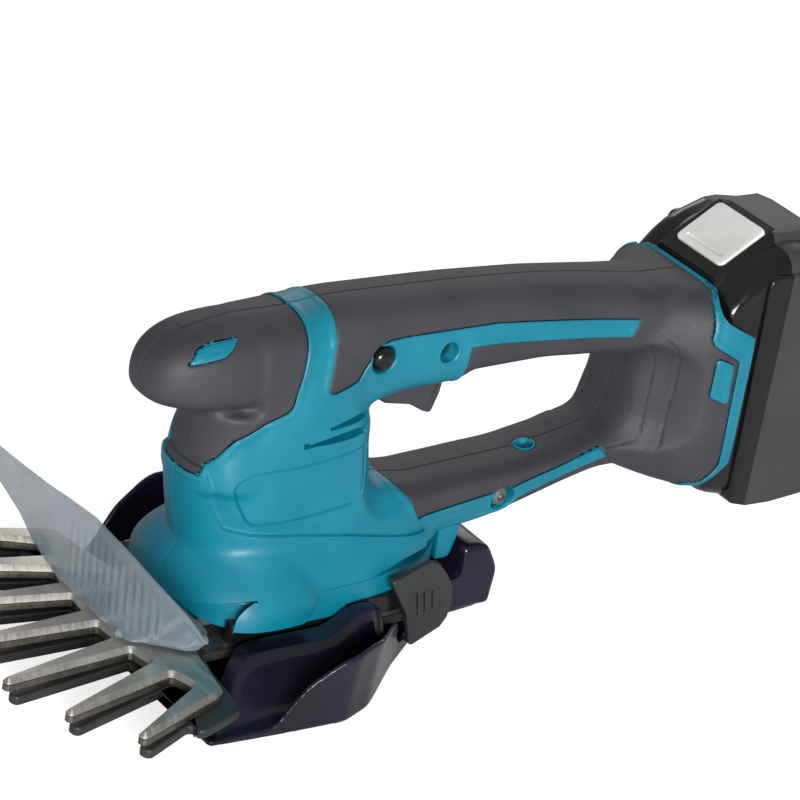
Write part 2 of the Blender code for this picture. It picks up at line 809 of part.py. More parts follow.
def tooth_direction(index):
    """Unit vector along a tooth, counted from the tool's left."""
    angle = (index - (TEETH - 1) / 2) * TOOTH_PITCH
    return Vector((-math.cos(angle), math.sin(angle)))


def tip_radius(direction, reach):
    """Distance from the pivot to the tooth tip, which lies on an arc across the tool."""
    centre = reach - TIP_ARC_RADIUS
    along = -direction.x * centre
    return along + math.sqrt(TIP_ARC_RADIUS ** 2 - (direction.y * centre) ** 2)


def comb(root_width, tip_width, reach, tip_round):
    """Outline of the teeth, from the tool's left to its right."""
    points = []
    for index in range(TEETH):
        direction = tooth_direction(index)
        side = Vector((direction.y, -direction.x))
        tip = tip_radius(direction, reach)
        points.append(direction * ROOT_RADIUS - side * root_width / 2)
        points.append(direction * (tip - tip_round) - side * tip_width / 2)
        points.append(direction * tip - side * (tip_width / 2 - tip_round))
        points.append(direction * tip + side * (tip_width / 2 - tip_round))
        points.append(direction * (tip - tip_round) + side * tip_width / 2)
        points.append(direction * ROOT_RADIUS + side * root_width / 2)
    if points[0].y > points[-1].y:
        points.reverse()
    return [tuple(point) for point in points]


def blade_outline(tang):
    """Outline of a blade: teeth, swept comb and a straight tang round the pivot."""
    teeth = comb(TOOTH_ROOT_WIDTH, TOOTH_TIP_WIDTH, TIP_REACH, TOOTH_TIP_CUT)
    corner = Vector(teeth[-1]) + Vector(PLATE_CORNER_STEP)
    back = [tuple(corner), (COMB_BACK_X, tang)]
    back += [(x, tang * share) for x, share in TANG_END]
    return teeth + back + [(x, -y) for x, y in reversed(back)]


def ground_plate(outline, bottom, top):
    """A blade whose upper edges are ground back all round."""
    rim = top - EDGE_BEVEL * 0.8
    inner = grown(outline, -EDGE_BEVEL)
    return loft([[(x, y, bottom) for x, y in outline], [(x, y, rim) for x, y in outline],
                 [(x, y, top) for x, y in inner]])


def screw_bores(low, high, radius):
    """Upright bores at the cover screws."""
    return [cylinder(radius, low, high, x, side * y, segments=12)
            for x, y in COVER_SCREWS for side in (-1, 1)]


def make_blades():
    """The swinging upper blade, the fixed lower blade and the blunt guard under them."""
    upper = ground_plate(blade_outline(TANG_HALF_WIDTH), UPPER_BLADE_BOTTOM, UPPER_BLADE_TOP)
    window = CRANK_PIN_RADIUS + CRANK_THROW - CRANK_X * math.tan(SWING) + RUN_GAP
    cut(upper, cylinder(PIVOT_PIN_RADIUS + SEAM_GAP, 0, 40),
        cylinder(window, 0, 40, CRANK_X))
    place(upper, "upper_blade", steel)
    lower = prism(blade_outline(LOWER_TANG_HALF_WIDTH), LOWER_BLADE_BOTTOM, LOWER_BLADE_TOP, "XY")
    cut(lower, cylinder(PIVOT_PIN_RADIUS + SEAM_GAP, 0, 40),
        *screw_bores(0, 40, SCREW_RADIUS + SEAM_GAP))
    place(lower, "lower_blade", steel)
    fingers = comb(FINGER_ROOT_WIDTH, FINGER_TIP_WIDTH, TIP_REACH - FINGER_SET_BACK, 2.4)
    last = Vector(fingers[-1])
    shoulder = [(-133, last.y + GUARD_SHOULDER), (-126, last.y + GUARD_SHOULDER + 0.5),
                (-109, 66), (-107, 60), (COMB_BACK_X, LOWER_TANG_HALF_WIDTH),
                (-14, LOWER_TANG_HALF_WIDTH), (4, 19), (8, 9)]
    outline = fingers[1:-1] + shoulder + [(x, -y) for x, y in reversed(shoulder)]
    guard = prism(outline, GUARD_BOTTOM, GUARD_TOP, "XY")
    cut(guard, cylinder(PIVOT_PIN_RADIUS + SEAM_GAP, 0, 40),
        *screw_bores(0, 40, SCREW_RADIUS + SEAM_GAP))
    place(guard, "blade_guard", dark_plastic)


def make_gear_case():
    """The gear case over the blades, its under cover and the screws that hold them."""
    outline = plan(CASE_FRONT, CASE_REAR, CASE_BELLY, CASE_HALF_WIDTH, CASE_POWER)
    case = prism(outline, CASE_BOTTOM, CASE_TOP, "XY")
    bosses = [cylinder(SCREW_HEAD_RADIUS, LOWER_BLADE_TOP + SEAM_GAP, CASE_BOTTOM + 1, x, side * y,
                       segments=12) for x, y in COVER_SCREWS for side in (-1, 1)]
    join(case, *bosses)
    outer = GEAR_MODULE * (CRANK_TEETH / 2 + 1)
    pinion = GEAR_MODULE * (PINION_TEETH / 2 + 1)
    cut(case,
        cylinder(outer + RUN_GAP, CASE_BOTTOM + CASE_FLOOR, CASE_TOP + 5, CRANK_X),
        cylinder(pinion + RUN_GAP, CASE_BOTTOM + CASE_FLOOR, CASE_TOP + 5, MOTOR_X, segments=16),
        cylinder(CRANK_PIN_RADIUS + CRANK_THROW + RUN_GAP, 0, 40, CRANK_X, segments=20),
        cylinder(PIVOT_PIN_RADIUS + SEAM_GAP, 0, CASE_TOP - 2, segments=20),
        *screw_bores(0, LOWER_BLADE_TOP + 11, SCREW_RADIUS + SEAM_GAP))
    place(case, "gear_case", dark_plastic)
    cover = prism(plan(CASE_FRONT + 6, CASE_REAR - 2, CASE_BELLY, COVER_HALF_WIDTH, CASE_POWER),
                  COVER_BOTTOM, COVER_TOP, "XY")
    head = COVER_TOP - 1.2
    cut(cover, cylinder(PIVOT_PIN_RADIUS + 3, 0, 40),
        *screw_bores(0, 40, SCREW_RADIUS + SEAM_GAP),
        *screw_bores(0, head, SCREW_HEAD_RADIUS + SEAM_GAP))
    place(cover, "under_cover", dark_plastic)
    pin = turned([(0, CASE_TOP - 2.4), (PIVOT_PIN_RADIUS - 0.6, CASE_TOP - 2.4),
                  (PIVOT_PIN_RADIUS, CASE_TOP - 3), (PIVOT_PIN_RADIUS, COVER_TOP),
                  (PIVOT_PIN_RADIUS + 2.4, COVER_TOP), (PIVOT_PIN_RADIUS + 2.4, COVER_BOTTOM + 0.8),
                  (PIVOT_PIN_RADIUS + 1.6, COVER_BOTTOM), (0, COVER_BOTTOM)])
    place(pin, "blade_pivot_pin", steel)
    number = 1
    for x, y in COVER_SCREWS:
        for side in (-1, 1):
            screw = turned([(0, head + 17), (SCREW_RADIUS, head + 16), (SCREW_RADIUS, head - SEAM_GAP),
                            (SCREW_HEAD_RADIUS, head - SEAM_GAP), (SCREW_HEAD_RADIUS, COVER_BOTTOM),
                            (1.2, COVER_BOTTOM), (1.2, COVER_BOTTOM + 0.7), (0, COVER_BOTTOM + 0.7)],
                           x, side * y, segments=12)
            place(screw, "cover_screw_" + str(number), steel)
            number += 1


def gear(teeth, low, high, phase):
    """A spur gear with involute flanks, standing at the origin."""
    pitch = GEAR_MODULE * teeth / 2
    base = pitch * math.cos(PRESSURE_ANGLE)
    root = pitch - 1.15 * GEAR_MODULE
    outer = pitch + 0.85 * GEAR_MODULE
    half_tooth = 0.42 * math.pi / teeth
    involute = math.tan(PRESSURE_ANGLE) - PRESSURE_ANGLE

    def half_angle(radius):
        pressure = math.acos(min(1.0, base / radius))
        return half_tooth + involute - (math.tan(pressure) - pressure)

    flank = [(root, half_angle(max(base, root))), (pitch, half_angle(pitch)),
             (outer, half_angle(outer))]
    if base > root:
        flank.insert(1, (base, half_angle(base)))
    points = []
    for k in range(teeth):
        centre = phase + 2 * math.pi * k / teeth
        for radius, angle in flank:
            points.append((radius * math.cos(centre - angle), radius * math.sin(centre - angle)))
        for radius, angle in reversed(flank):
            points.append((radius * math.cos(centre + angle), radius * math.sin(centre + angle)))
    return prism(points, low, high, "XY")


def make_drive():
    """Motor, pinion, crank gear with its eccentric pin, and the crank's bearing."""
    top = MOTOR_BOTTOM + MOTOR_LENGTH
    can = turned([(0, top), (5, top), (5, top - 2), (MOTOR_RADIUS - 1.5, top - 2),
                  (MOTOR_RADIUS, top - 3.5), (MOTOR_RADIUS, MOTOR_BOTTOM + 3.5),
                  (MOTOR_RADIUS - 1.5, MOTOR_BOTTOM + 2), (6, MOTOR_BOTTOM + 2), (6, MOTOR_BOTTOM),
                  (MOTOR_SHAFT_RADIUS + SEAM_GAP, MOTOR_BOTTOM),
                  (MOTOR_SHAFT_RADIUS + SEAM_GAP, MOTOR_BOTTOM + 12), (0, MOTOR_BOTTOM + 12)])
    can.data.transform(Matrix.Translation((MOTOR_X, 0, 0)))
    place(can, "motor_can", steel)
    shaft = turned([(0, MOTOR_BOTTOM + 11), (MOTOR_SHAFT_RADIUS, MOTOR_BOTTOM + 11),
                    (MOTOR_SHAFT_RADIUS, GEAR_BOTTOM), (0, GEAR_BOTTOM)], MOTOR_X, segments=16)
    place(shaft, "motor_shaft", steel, (MOTOR_X, 0, 0))
    pinion = cut(gear(PINION_TEETH, GEAR_BOTTOM, GEAR_TOP + 1, 0.0),
                 cylinder(MOTOR_SHAFT_RADIUS + SEAM_GAP, 0, 60, segments=16))
    pinion.data.transform(Matrix.Translation((MOTOR_X, 0, 0)))
    place(pinion, "motor_pinion", steel, (MOTOR_X, 0, 0))
    crank = gear(CRANK_TEETH, GEAR_BOTTOM, GEAR_TOP, math.pi / CRANK_TEETH)
    stub = turned([(0, BEARING_TOP), (CRANK_SHAFT_RADIUS, BEARING_TOP),
                   (CRANK_SHAFT_RADIUS, GEAR_TOP - 2), (0, GEAR_TOP - 2)], segments=16)
    eccentric = turned([(0, GEAR_BOTTOM + 2), (CRANK_PIN_RADIUS, GEAR_BOTTOM + 2),
                        (CRANK_PIN_RADIUS, UPPER_BLADE_BOTTOM + 0.2), (0, UPPER_BLADE_BOTTOM + 0.2)],
                       segments=16)
    eccentric.data.transform(Matrix.Translation((-CRANK_THROW, 0, 0)))
    join(crank, stub, eccentric)
    crank.data.transform(Matrix.Translation((CRANK_X, 0, 0)))
    place(crank, "crank_gear", steel, (CRANK_X, 0, 0))
    bearing = turned([(CRANK_SHAFT_RADIUS + SEAM_GAP, BEARING_TOP), (BEARING_RADIUS, BEARING_TOP),
                      (BEARING_RADIUS, BEARING_BOTTOM),
                      (CRANK_SHAFT_RADIUS + SEAM_GAP, BEARING_BOTTOM),
                      (CRANK_SHAFT_RADIUS + SEAM_GAP, BEARING_TOP)], CRANK_X)
    place(bearing, "crank_bearing", steel)


# Controls


def make_controls():
    """Trigger, its pin, the switch, the lock-off button, the terminal block and the screws."""
    hinge_x, hinge_z = TRIGGER_HINGE
    switch_x, switch_z = SWITCH_CORNER
    profile = rounded(((hinge_x - 3, hinge_z + 3, 2), (hinge_x - 3, 93.5, 1.5), (-22.4, 89.1, 3),
                       (-11, 86.9, 8), (-5, 83.4, 3), (-1.2, 81.8, 1.5), (1.6, 90.3, 2),
                       (switch_x - 1, 94, 1.5), (switch_x - 1, hinge_z + 1.5, 1)))
    trigger = prism(profile, -TRIGGER_HALF_WIDTH, TRIGGER_HALF_WIDTH)
    bevel = trigger.modifiers.new("edges", "BEVEL")
    bevel.width = 1.2
    bevel.segments = 1
    bevel.limit_method = "ANGLE"
    bevel.angle_limit = math.radians(60)
    apply_modifiers(trigger)
    cut(trigger, laid_across(cylinder(TRIGGER_PIN_RADIUS + SEAM_GAP, -20, 20, segments=16),
                             hinge_x, hinge_z))
    place(trigger, "trigger", charcoal, (hinge_x, 0, hinge_z))
    half_pin = TRIGGER_HALF_WIDTH + RUN_GAP + 3.5
    place(laid_across(cylinder(TRIGGER_PIN_RADIUS, -half_pin, half_pin, segments=16),
                      hinge_x, hinge_z), "trigger_pin", steel)
    length, width, height = SWITCH_SIZE
    switch = box((switch_x, switch_x + length), (-width / 2, width / 2),
                 (switch_z, switch_z + height))
    place(switch, "switch_module", dark_plastic)
    lock_x, lock_z = LOCK_OFF_CENTRE
    radius = LOCK_OFF_RADIUS
    reach = LOCK_OFF_REACH
    button = turned([(0, reach - LOCK_OFF_TRAVEL), (radius * 0.6, reach - LOCK_OFF_TRAVEL - 0.5),
                     (radius, reach - LOCK_OFF_TRAVEL - 2), (radius, 2 - reach),
                     (radius * 0.6, 0.5 - reach), (0, -reach)], segments=24)
    place(laid_across(button, lock_x, lock_z), "lock_off_button", black_gloss, (lock_x, 0, lock_z))
    place(terminal_space(), "terminal_block", dark_plastic)
    names = ("handle_screw", "bar_screw")
    for name, (x, z, recess) in zip(names, HOUSING_SCREWS):
        top = SCREW_RECESS_DEPTH + 3 - HANDLE_HALF_WIDTH
        screw = turned([(0, SCREW_LENGTH + top), (SCREW_RADIUS, SCREW_LENGTH + top - 1),
                        (SCREW_RADIUS, top), (SCREW_HEAD_RADIUS, top),
                        (SCREW_HEAD_RADIUS, top - 2), (SCREW_RADIUS, top - 2.6),
                        (SCREW_RADIUS - 0.3, top - 1.6), (0, top - 1.6)], segments=16)
        place(laid_across(screw, x, z), name, steel)


# Battery


def crown():
    """The raised middle of the battery with the slope that its button slides on."""
    outline = [(BATTERY_FRONT_X, 110), (BATTERY_FRONT_X, SLOPE_FOOT), (SLOPE_TOP_X, CROWN_TOP),
               (SLOPE_TOP_X + 2, CROWN_TOP), (REAR_REACH - 5, CROWN_TOP - 2.4), (REAR_REACH - 3, 116)]
    return prism(outline, -CROWN_HALF_WIDTH, CROWN_HALF_WIDTH)


def on_slope(obj):
    """Turn a shape made flat at the origin onto the battery's slope, its middle on the button's."""
    rise = math.atan2(CROWN_TOP - SLOPE_FOOT, SLOPE_TOP_X - BATTERY_FRONT_X)
    height = SLOPE_FOOT + (BUTTON_X - BATTERY_FRONT_X) * math.tan(rise)
    obj.data.transform(Matrix.Translation((BUTTON_X, 0, height)) @ Matrix.Rotation(-rise, 4, "Y"))
    return obj


def battery_case():
    """The battery's whole outer form."""
    half = BATTERY_HALF_WIDTH
    sections = (
        (BATTERY_FACE_X, 36.5, 131, half - 0.5, 5),
        (BATTERY_FACE_X + 2.7, 35.5, 135, half, 5),
        (BATTERY_SEAM_X, 34, 137.8, half, 4.5),
        (BATTERY_SEAM_X + 16, 32.5, 139, half, 4.5),
        (BATTERY_SEAM_X + 29, 31.8, 137.5, half - 0.3, 4.5),
        (REAR_REACH - 1, 32.8, 135.5, half - 1.6, 4),
        (REAR_REACH, 34.5, 133.5, half - 3.5, 3.5),
    )
    rings = []
    for x, bottom, top, width, corner in sections:
        frame = ((-width, bottom, corner), (width, bottom, corner), (width, top, corner),
                 (-width, top, corner))
        rings.append([(x, y, z) for y, z in rounded(frame)])
    tongue = trim(prism(battery_tongue(), -BATTERY_HALF_WIDTH, BATTERY_HALF_WIDTH), tongue_form())
    case = join(loft(rings), tongue, crown())
    slide = BUTTON_SIZE / 2 + BATTERY_GAP
    pocket = box((-slide, slide + BUTTON_TRAVEL), (-slide, slide), (-BUTTON_HEIGHT, 20))
    cut(case, on_slope(pocket))
    for side in (-1, 1):
        depth = BATTERY_TONGUE_HALF_WIDTH - RAIL_DEPTH - BATTERY_GAP
        wall = BATTERY_TONGUE_HALF_WIDTH + 5
        cut(case, box((RAIL_X - RAIL_WIDTH / 2 - BATTERY_GAP, RAIL_X + RAIL_WIDTH / 2 + BATTERY_GAP),
                      sorted((side * depth, side * wall)), (20, RAIL_TOP + BATTERY_GAP)))
    return case


def make_battery():
    """Front and rear battery shells and the release button on the slope."""
    case = battery_case()
    front = trim(copy(case), box((80, BATTERY_SEAM_X - SEAM_GAP / 2), (-60, 60), (0, 200)))
    rear = trim(case, box((BATTERY_SEAM_X + SEAM_GAP / 2, 200), (-60, 60), (0, 200)))
    place(front, "battery_front_shell", black_gloss, (BATTERY_FRONT_X, 0, 46))
    place(rear, "battery_rear_shell", black_gloss, (BATTERY_FRONT_X, 0, 46))
    size = BUTTON_SIZE / 2
    button = box((-size, size), (-size, size), (SEAM_GAP - BUTTON_HEIGHT, 1.4))
    bevel = button.modifiers.new("edges", "BEVEL")
    bevel.width = 1.6
    bevel.segments = 3
    apply_modifiers(button)
    groove = box((-size + 3, -size + 4.6), (-size + 3, size - 3), (0.6, 5))
    place(on_slope(cut(button, groove)), "battery_button", lambda name: material(name, "EBEBE8", 0.35),
          (BUTTON_X, 0, 132))


# Height skirt and scoop


def sole_outline():
    """Plan of the skirt's sole."""
    side = [(SOLE_FRONT, 64), (-91, 66), (-64, SKIRT_HALF_WIDTH), (-48, 59), (-27, 41), (-12, 30),
            (0, 22), (12, TAIL_HALF_WIDTH), (30, 15), (35, 9)]
    return [(x, -y) for x, y in side] + list(reversed(side))


def skirt_wall():
    """The left wing's outer wall, whose rim rises and falls along the tool."""
    flare = 3.5
    stations = ((-93, 66, 2.2), (-88, 66, 11), (-82, 66.3, 19), (-70, 66.8, 27),
                (-64, SKIRT_HALF_WIDTH, 29), (-57, 64, SKIRT_RIM), (-48, 59, 28.5), (-38, 50.5, 26),
                (-30, 43.5, 21), (-24, 38.5, 8), (-12, 30, 6), (0, 22.2, 6), (12, TAIL_HALF_WIDTH, 6))
    rings = []
    for i, (x, y, height) in enumerate(stations):
        before = Vector(stations[max(i - 1, 0)][:2])
        after = Vector(stations[min(i + 1, len(stations) - 1)][:2])
        along = (after - before).normalized()
        outward = Vector((-along.y, along.x))
        base = Vector((x, y)) - outward * 0.2
        lean = outward * flare * (height / SKIRT_RIM) ** 2
        wall = outward * SKIRT_WALL
        rings.append([(point.x, -point.y, z) for point, z in (
            (base, 1), (base + lean, height), (base + lean - wall, height), (base - wall, 1))])
    return loft(rings)


def skirt_deck():
    """The left wing's inner deck, which falls from the flange's edge to the sole."""
    inner = CASE_HALF_WIDTH + RUN_GAP + 1
    stations = ((-113, 57, 61, 63, 3), (-108, 46, 55, 60, 5), (-103.5, 43, 52, 59, 6),
                (-99, 39, 48.5, 58, 15),
                (-92, inner, 44.5, 60, DECK_HEIGHT), (-60, inner, 44.5, 62, DECK_HEIGHT),
                (-40, inner, 39, 50, DECK_HEIGHT), (-28, inner - 1, 34, 40, 12))
    rings = []
    for x, start, shoulder, foot, height in stations:
        middle = (shoulder + foot) / 2
        rings.append([(x, -start, 1), (x, -start, height), (x, -shoulder, height),
                      (x, -middle, 2 + (height - 2) * 0.45), (x, -foot, 2), (x, -foot, 1)])
    return loft(rings)


def clip_outline():
    """Side outline of a height clip."""
    return rounded(((-29.7, 33, 1), (-24.6, 33.7, 6), (-16.8, 36.8, 6), (-12.6, 38.1, 3),
                    (-8.8, 36.9, 4), (-4.2, 31.5, 8), (-0.7, 25.4, 6), (0.1, 18.9, 6), (-1, 13.2, 4),
                    (-3.5, 9.5, 2), (-16.2, 3.5, 1.5), (-20.3, 18.3, 8)), steps=2)


def clip_shape(growth=0.0, inward=0.0):
    """The left height clip, or the space that it moves in."""
    outer = CLIP_OUTER_Y + growth
    inner = CLIP_OUTER_Y - CLIP_THICKNESS - growth - inward
    return prism(grown(clip_outline(), growth), -outer, -inner)


def make_skirt():
    """The height skirt with its two wings and tail, and a clip on each side."""
    skirt = prism(sole_outline(), 0, SOLE_THICKNESS, "XY")
    guide = CASE_HALF_WIDTH + RUN_GAP
    outer = plan(CASE_FRONT - RUN_GAP - 2, CASE_REAR + RUN_GAP + 2, CASE_BELLY, guide + 2, CASE_POWER)
    inner = plan(CASE_FRONT - RUN_GAP, CASE_REAR + RUN_GAP, CASE_BELLY, guide, CASE_POWER)
    rails = cut(prism(outer, 1, GUIDE_HEIGHT, "XY"), prism(inner, 0, 40, "XY"),
                box((-130, GUIDE_FRONT), (-60, 60), (0, 60)),
                box((GUIDE_REAR, 30), (-60, 60), (0, 60)),
                box(GUIDE_WINDOW, (-60, 60), (DECK_HEIGHT, 60)))
    tail = prism(rounded(((TAIL_FRONT, 1, 0), (TAIL_FRONT, 15, 2), (TAIL_STEP, 15.6, 0),
                          (TAIL_STEP, TAIL_TOP, 2), (TAIL_REAR - 6, TAIL_TOP - 1, 6),
                          (TAIL_REAR, 16, 8), (TAIL_REAR - 1, 1, 0)), steps=4),
                 -TAIL_HALF_WIDTH, TAIL_HALF_WIDTH)
    half = TAIL_HALF_WIDTH
    round_end = half - 8
    sides = rounded(((0, -half, 0), (TAIL_REAR - 12, -half, 6), (TAIL_REAR + 1, -round_end, 9),
                     (TAIL_REAR + 1, round_end, 9), (TAIL_REAR - 12, half, 6), (0, half, 0)), steps=4)
    trim(tail, prism(sides, 0, 40, "XY"))
    deck = skirt_deck()
    wall = skirt_wall()
    join(skirt, rails, mirrored(deck), deck, mirrored(wall), wall, tail)
    slot = clip_shape(SEAM_GAP, CLIP_TRAVEL)
    cut(skirt, mirrored(slot), slot)
    place(skirt, "height_skirt", lambda name: material(name, "1C1522", 0.3))
    clip = clip_shape()
    x, z = CLIP_CENTRE
    place(mirrored(clip), "right_height_clip", dark_plastic, (x, CLIP_OUTER_Y, z))
    place(clip, "left_height_clip", dark_plastic, (x, -CLIP_OUTER_Y, z))


def make_scoop():
    """The clear scoop: a crescent wall across the blades with a foot under the flange."""
    floor = UPPER_BLADE_TOP + RUN_GAP
    stations = ((-62, 41.5, 44), (-55, 36, 47), (-43, 30, 50), (-30, 24, 52.5),
                (-22, floor, 54), (-8, floor, 55.3), (3, floor, 56), (16, floor, 55), (29, floor, 53),
                (42, 24, 51.5), (55, 30, 50), (71, 34, 48.5), (82, 34.5, 47.5))
    bow = 9.0
    half = SCOOP_WALL / 2
    rings = []
    for y, low, high in stations:
        x = SCOOP_X + bow * (y / 80) ** 2
        rings.append([(x - half, y, low), (x - half - 1.5, y, high), (x + half - 1.5, y, high),
                      (x + half, y, low)])
    wall = loft(rings)
    front = SCOOP_X - half + 0.4
    rear = CASE_FRONT - SEAM_GAP
    foot = prism([(front, -22), (front, 29), (rear, SCOOP_FOOT_HALF_WIDTH - 16),
                  (rear, 16 - SCOOP_FOOT_HALF_WIDTH)], floor, floor + 1.8, "XY")
    place(join(wall, foot), "grass_scoop",
          lambda name: material(name, "8291A0", 0.12, alpha=0.45), (SCOOP_X, 0, floor))


def main():
    for obj in list(bpy.data.objects):
        bpy.data.objects.remove(obj, do_unlink=True)
    parts = bpy.data.collections.new("comb_trimmer")
    bpy.context.scene.collection.children.link(parts)
    assembly = bpy.data.objects.new("assembly", None)
    assembly.location = (CENTRE_SHIFT * METRES, 0, 0)
    parts.objects.link(assembly)
    make_housing()
    make_blades()
    make_gear_case()
    make_drive()
    make_controls()
    make_battery()
    make_skirt()
    make_scoop()


if __name__ == "__main__":
    main()
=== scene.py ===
"""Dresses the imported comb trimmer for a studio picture.

Sizes are in millimetres about the blade pivot, with the blades along -X, the tool's left side
at -Y and +Z up. settle() turns them to the frame's metres.
"""

import math

import bmesh
import bpy
import numpy as np
from bpy.props import FloatProperty, PointerProperty, StringProperty
from mathutils import Matrix, Vector


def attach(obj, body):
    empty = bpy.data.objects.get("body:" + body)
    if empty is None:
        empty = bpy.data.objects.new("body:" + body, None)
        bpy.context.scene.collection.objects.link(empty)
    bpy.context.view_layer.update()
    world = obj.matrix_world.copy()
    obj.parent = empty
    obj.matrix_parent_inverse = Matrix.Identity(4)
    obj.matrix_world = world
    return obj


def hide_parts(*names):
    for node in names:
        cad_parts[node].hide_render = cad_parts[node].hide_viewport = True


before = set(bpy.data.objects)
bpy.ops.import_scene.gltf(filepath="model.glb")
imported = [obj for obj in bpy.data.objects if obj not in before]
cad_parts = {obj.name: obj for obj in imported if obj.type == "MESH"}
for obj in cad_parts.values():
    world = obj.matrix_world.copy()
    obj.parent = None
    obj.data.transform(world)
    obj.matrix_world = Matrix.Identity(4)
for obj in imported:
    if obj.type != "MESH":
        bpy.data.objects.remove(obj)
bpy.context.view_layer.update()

bl_info = {
    "name": "Comb trimmer dressing",
    "version": (1, 0, 0),
    "blender": (4, 5, 0),
    "location": "3D View > Sidebar > Comb Trimmer",
    "description": "Models the visible pieces of a cordless comb trimmer round its packed frame",
    "category": "Object",
}

# Place of the frame's origin along X, from the blade pivot
PIVOT_OFFSET = -7.0
METRES = 0.001

# A hair's breadth: an outline is drawn in by it, so that no two faces lie in one plane
HAIR = 0.001
# A field gives one number for each of many places, and this one where it doesn't apply
NOWHERE = -99.0


# Materials


def linear(code):
    """Linear colour from an sRGB hex string."""
    def channel(text):
        value = int(text, 16) / 255
        return value / 12.92 if value <= 0.04045 else ((value + 0.055) / 1.055) ** 2.4
    return tuple(channel(code[i:i + 2]) for i in (0, 2, 4)) + (1.0,)


def add(tree, kind, inputs=None, **settings):
    """Add a node with its settings; an input takes a number, a colour or another node's output."""
    made = tree.nodes.new(kind)
    for name, value in settings.items():
        setattr(made, name, value)
    for name, value in (inputs or {}).items():
        socket = made.inputs[name]
        if isinstance(value, bpy.types.NodeSocket):
            tree.links.new(value, socket)
        else:
            socket.default_value = value
    return made


# Every finish by its name, filled as each is made
FINISHES = {}

# Spacings of the soft clouds of colour, in millimetres
PLASTIC_CLOUDS = 23.0
ROLLED_CLOUDS = 14.0
GROUND_CLOUDS = 6.0
# Flecks of the second colour lie this many grains apart: wear, and on the smoked skirt painted
# light coming through it
FLECK_GRAINS = 3.1


def new_finish(name):
    """A new finish: its node tree, its shader and its Object coordinates in millimetres."""
    finish = bpy.data.materials.new(name)
    FINISHES[name] = finish
    finish.use_nodes = True
    tree = finish.node_tree
    tree.nodes.clear()
    shader = add(tree, "ShaderNodeBsdfPrincipled")
    add(tree, "ShaderNodeOutputMaterial", {"Surface": shader.outputs["BSDF"]})
    place = add(tree, "ShaderNodeTexCoord")
    scale = add(tree, "ShaderNodeVectorMath", {0: place.outputs["Object"]}, operation="SCALE")
    scale.inputs["Scale"].default_value = 1 / METRES
    return tree, shader, scale.outputs[0]


def moulded(name, base, wear_and_glow, grain, bump, rough, spread):
    """A moulded plastic: two close colours in soft clouds, a fine grain and uneven gloss.

    grain is the spacing of the grain and bump its depth, both in millimetres. Returns its shader.
    """
    tree, shader, place = new_finish(name)
    clouds = add(tree, "ShaderNodeTexNoise", {"Vector": place, "Scale": 1 / PLASTIC_CLOUDS,
                                              "Detail": 3.0})
    speck = add(tree, "ShaderNodeTexNoise", {"Vector": place, "Detail": 2.0,
                                             "Scale": 1 / (grain * FLECK_GRAINS)})
    fine = add(tree, "ShaderNodeTexNoise", {"Vector": place, "Scale": 1 / grain, "Detail": 3.0})
    tint = add(tree, "ShaderNodeMapRange", {"Value": clouds.outputs["Fac"], "From Min": 0.35,
                                            "From Max": 0.7})
    # The second colour is wear, and on the smoked skirt painted light coming through it
    cloudy = add(tree, "ShaderNodeMix", {0: tint.outputs[0], 6: linear(base), 7: linear(wear_and_glow)},
                 data_type="RGBA")
    fleck = add(tree, "ShaderNodeMapRange", {"Value": speck.outputs["Fac"], "From Min": 0.62,
                                             "From Max": 0.8, "To Max": 0.35})
    colour = add(tree, "ShaderNodeMix", {0: fleck.outputs[0], 6: cloudy.outputs[2],
                                         7: linear(wear_and_glow)}, data_type="RGBA")
    tree.links.new(colour.outputs[2], shader.inputs["Base Color"])
    gloss = add(tree, "ShaderNodeMapRange", {"Value": fine.outputs["Fac"], "From Min": 0.3,
                                             "From Max": 0.7, "To Min": rough - spread,
                                             "To Max": rough + spread})
    tree.links.new(gloss.outputs[0], shader.inputs["Roughness"])
    relief = add(tree, "ShaderNodeBump", {"Height": fine.outputs["Fac"], "Strength": 1.0,
                                          "Distance": bump * METRES})
    tree.links.new(relief.outputs["Normal"], shader.inputs["Normal"])
    shader.inputs["IOR"].default_value = 1.5
    return shader


def rolled_steel(name, base, dark, rough, run, pitch, bump):
    """Rolled steel: streaks at the angle run, pitch millimetres apart and bump deep."""
    tree, shader, place = new_finish(name)
    turned = add(tree, "ShaderNodeMapping", {"Vector": place, "Rotation": (0, 0, run),
                                             "Scale": (1 / pitch, 0.06 / pitch, 0.3 / pitch)})
    streak = add(tree, "ShaderNodeTexNoise", {"Vector": turned.outputs[0], "Scale": 1.0,
                                              "Detail": 4.0, "Roughness": 0.6})
    clouds = add(tree, "ShaderNodeTexNoise", {"Vector": place, "Scale": 1 / ROLLED_CLOUDS,
                                              "Detail": 4.0})
    both = add(tree, "ShaderNodeMath", {0: streak.outputs["Fac"], 1: clouds.outputs["Fac"]},
               operation="ADD")
    tone = add(tree, "ShaderNodeMapRange", {"Value": both.outputs[0], "From Min": 0.75,
                                            "From Max": 1.25})
    colour = add(tree, "ShaderNodeMix", {0: tone.outputs[0], 6: linear(dark), 7: linear(base)},
                 data_type="RGBA")
    tree.links.new(colour.outputs[2], shader.inputs["Base Color"])
    gloss = add(tree, "ShaderNodeMapRange", {"Value": streak.outputs["Fac"], "From Min": 0.3,
                                             "From Max": 0.7, "To Min": rough - 0.08,
                                             "To Max": rough + 0.1})
    tree.links.new(gloss.outputs[0], shader.inputs["Roughness"])
    relief = add(tree, "ShaderNodeBump", {"Height": streak.outputs["Fac"], "Strength": 1.0,
                                          "Distance": bump * METRES})
    tree.links.new(relief.outputs["Normal"], shader.inputs["Normal"])
    shader.inputs["Metallic"].default_value = 1.0


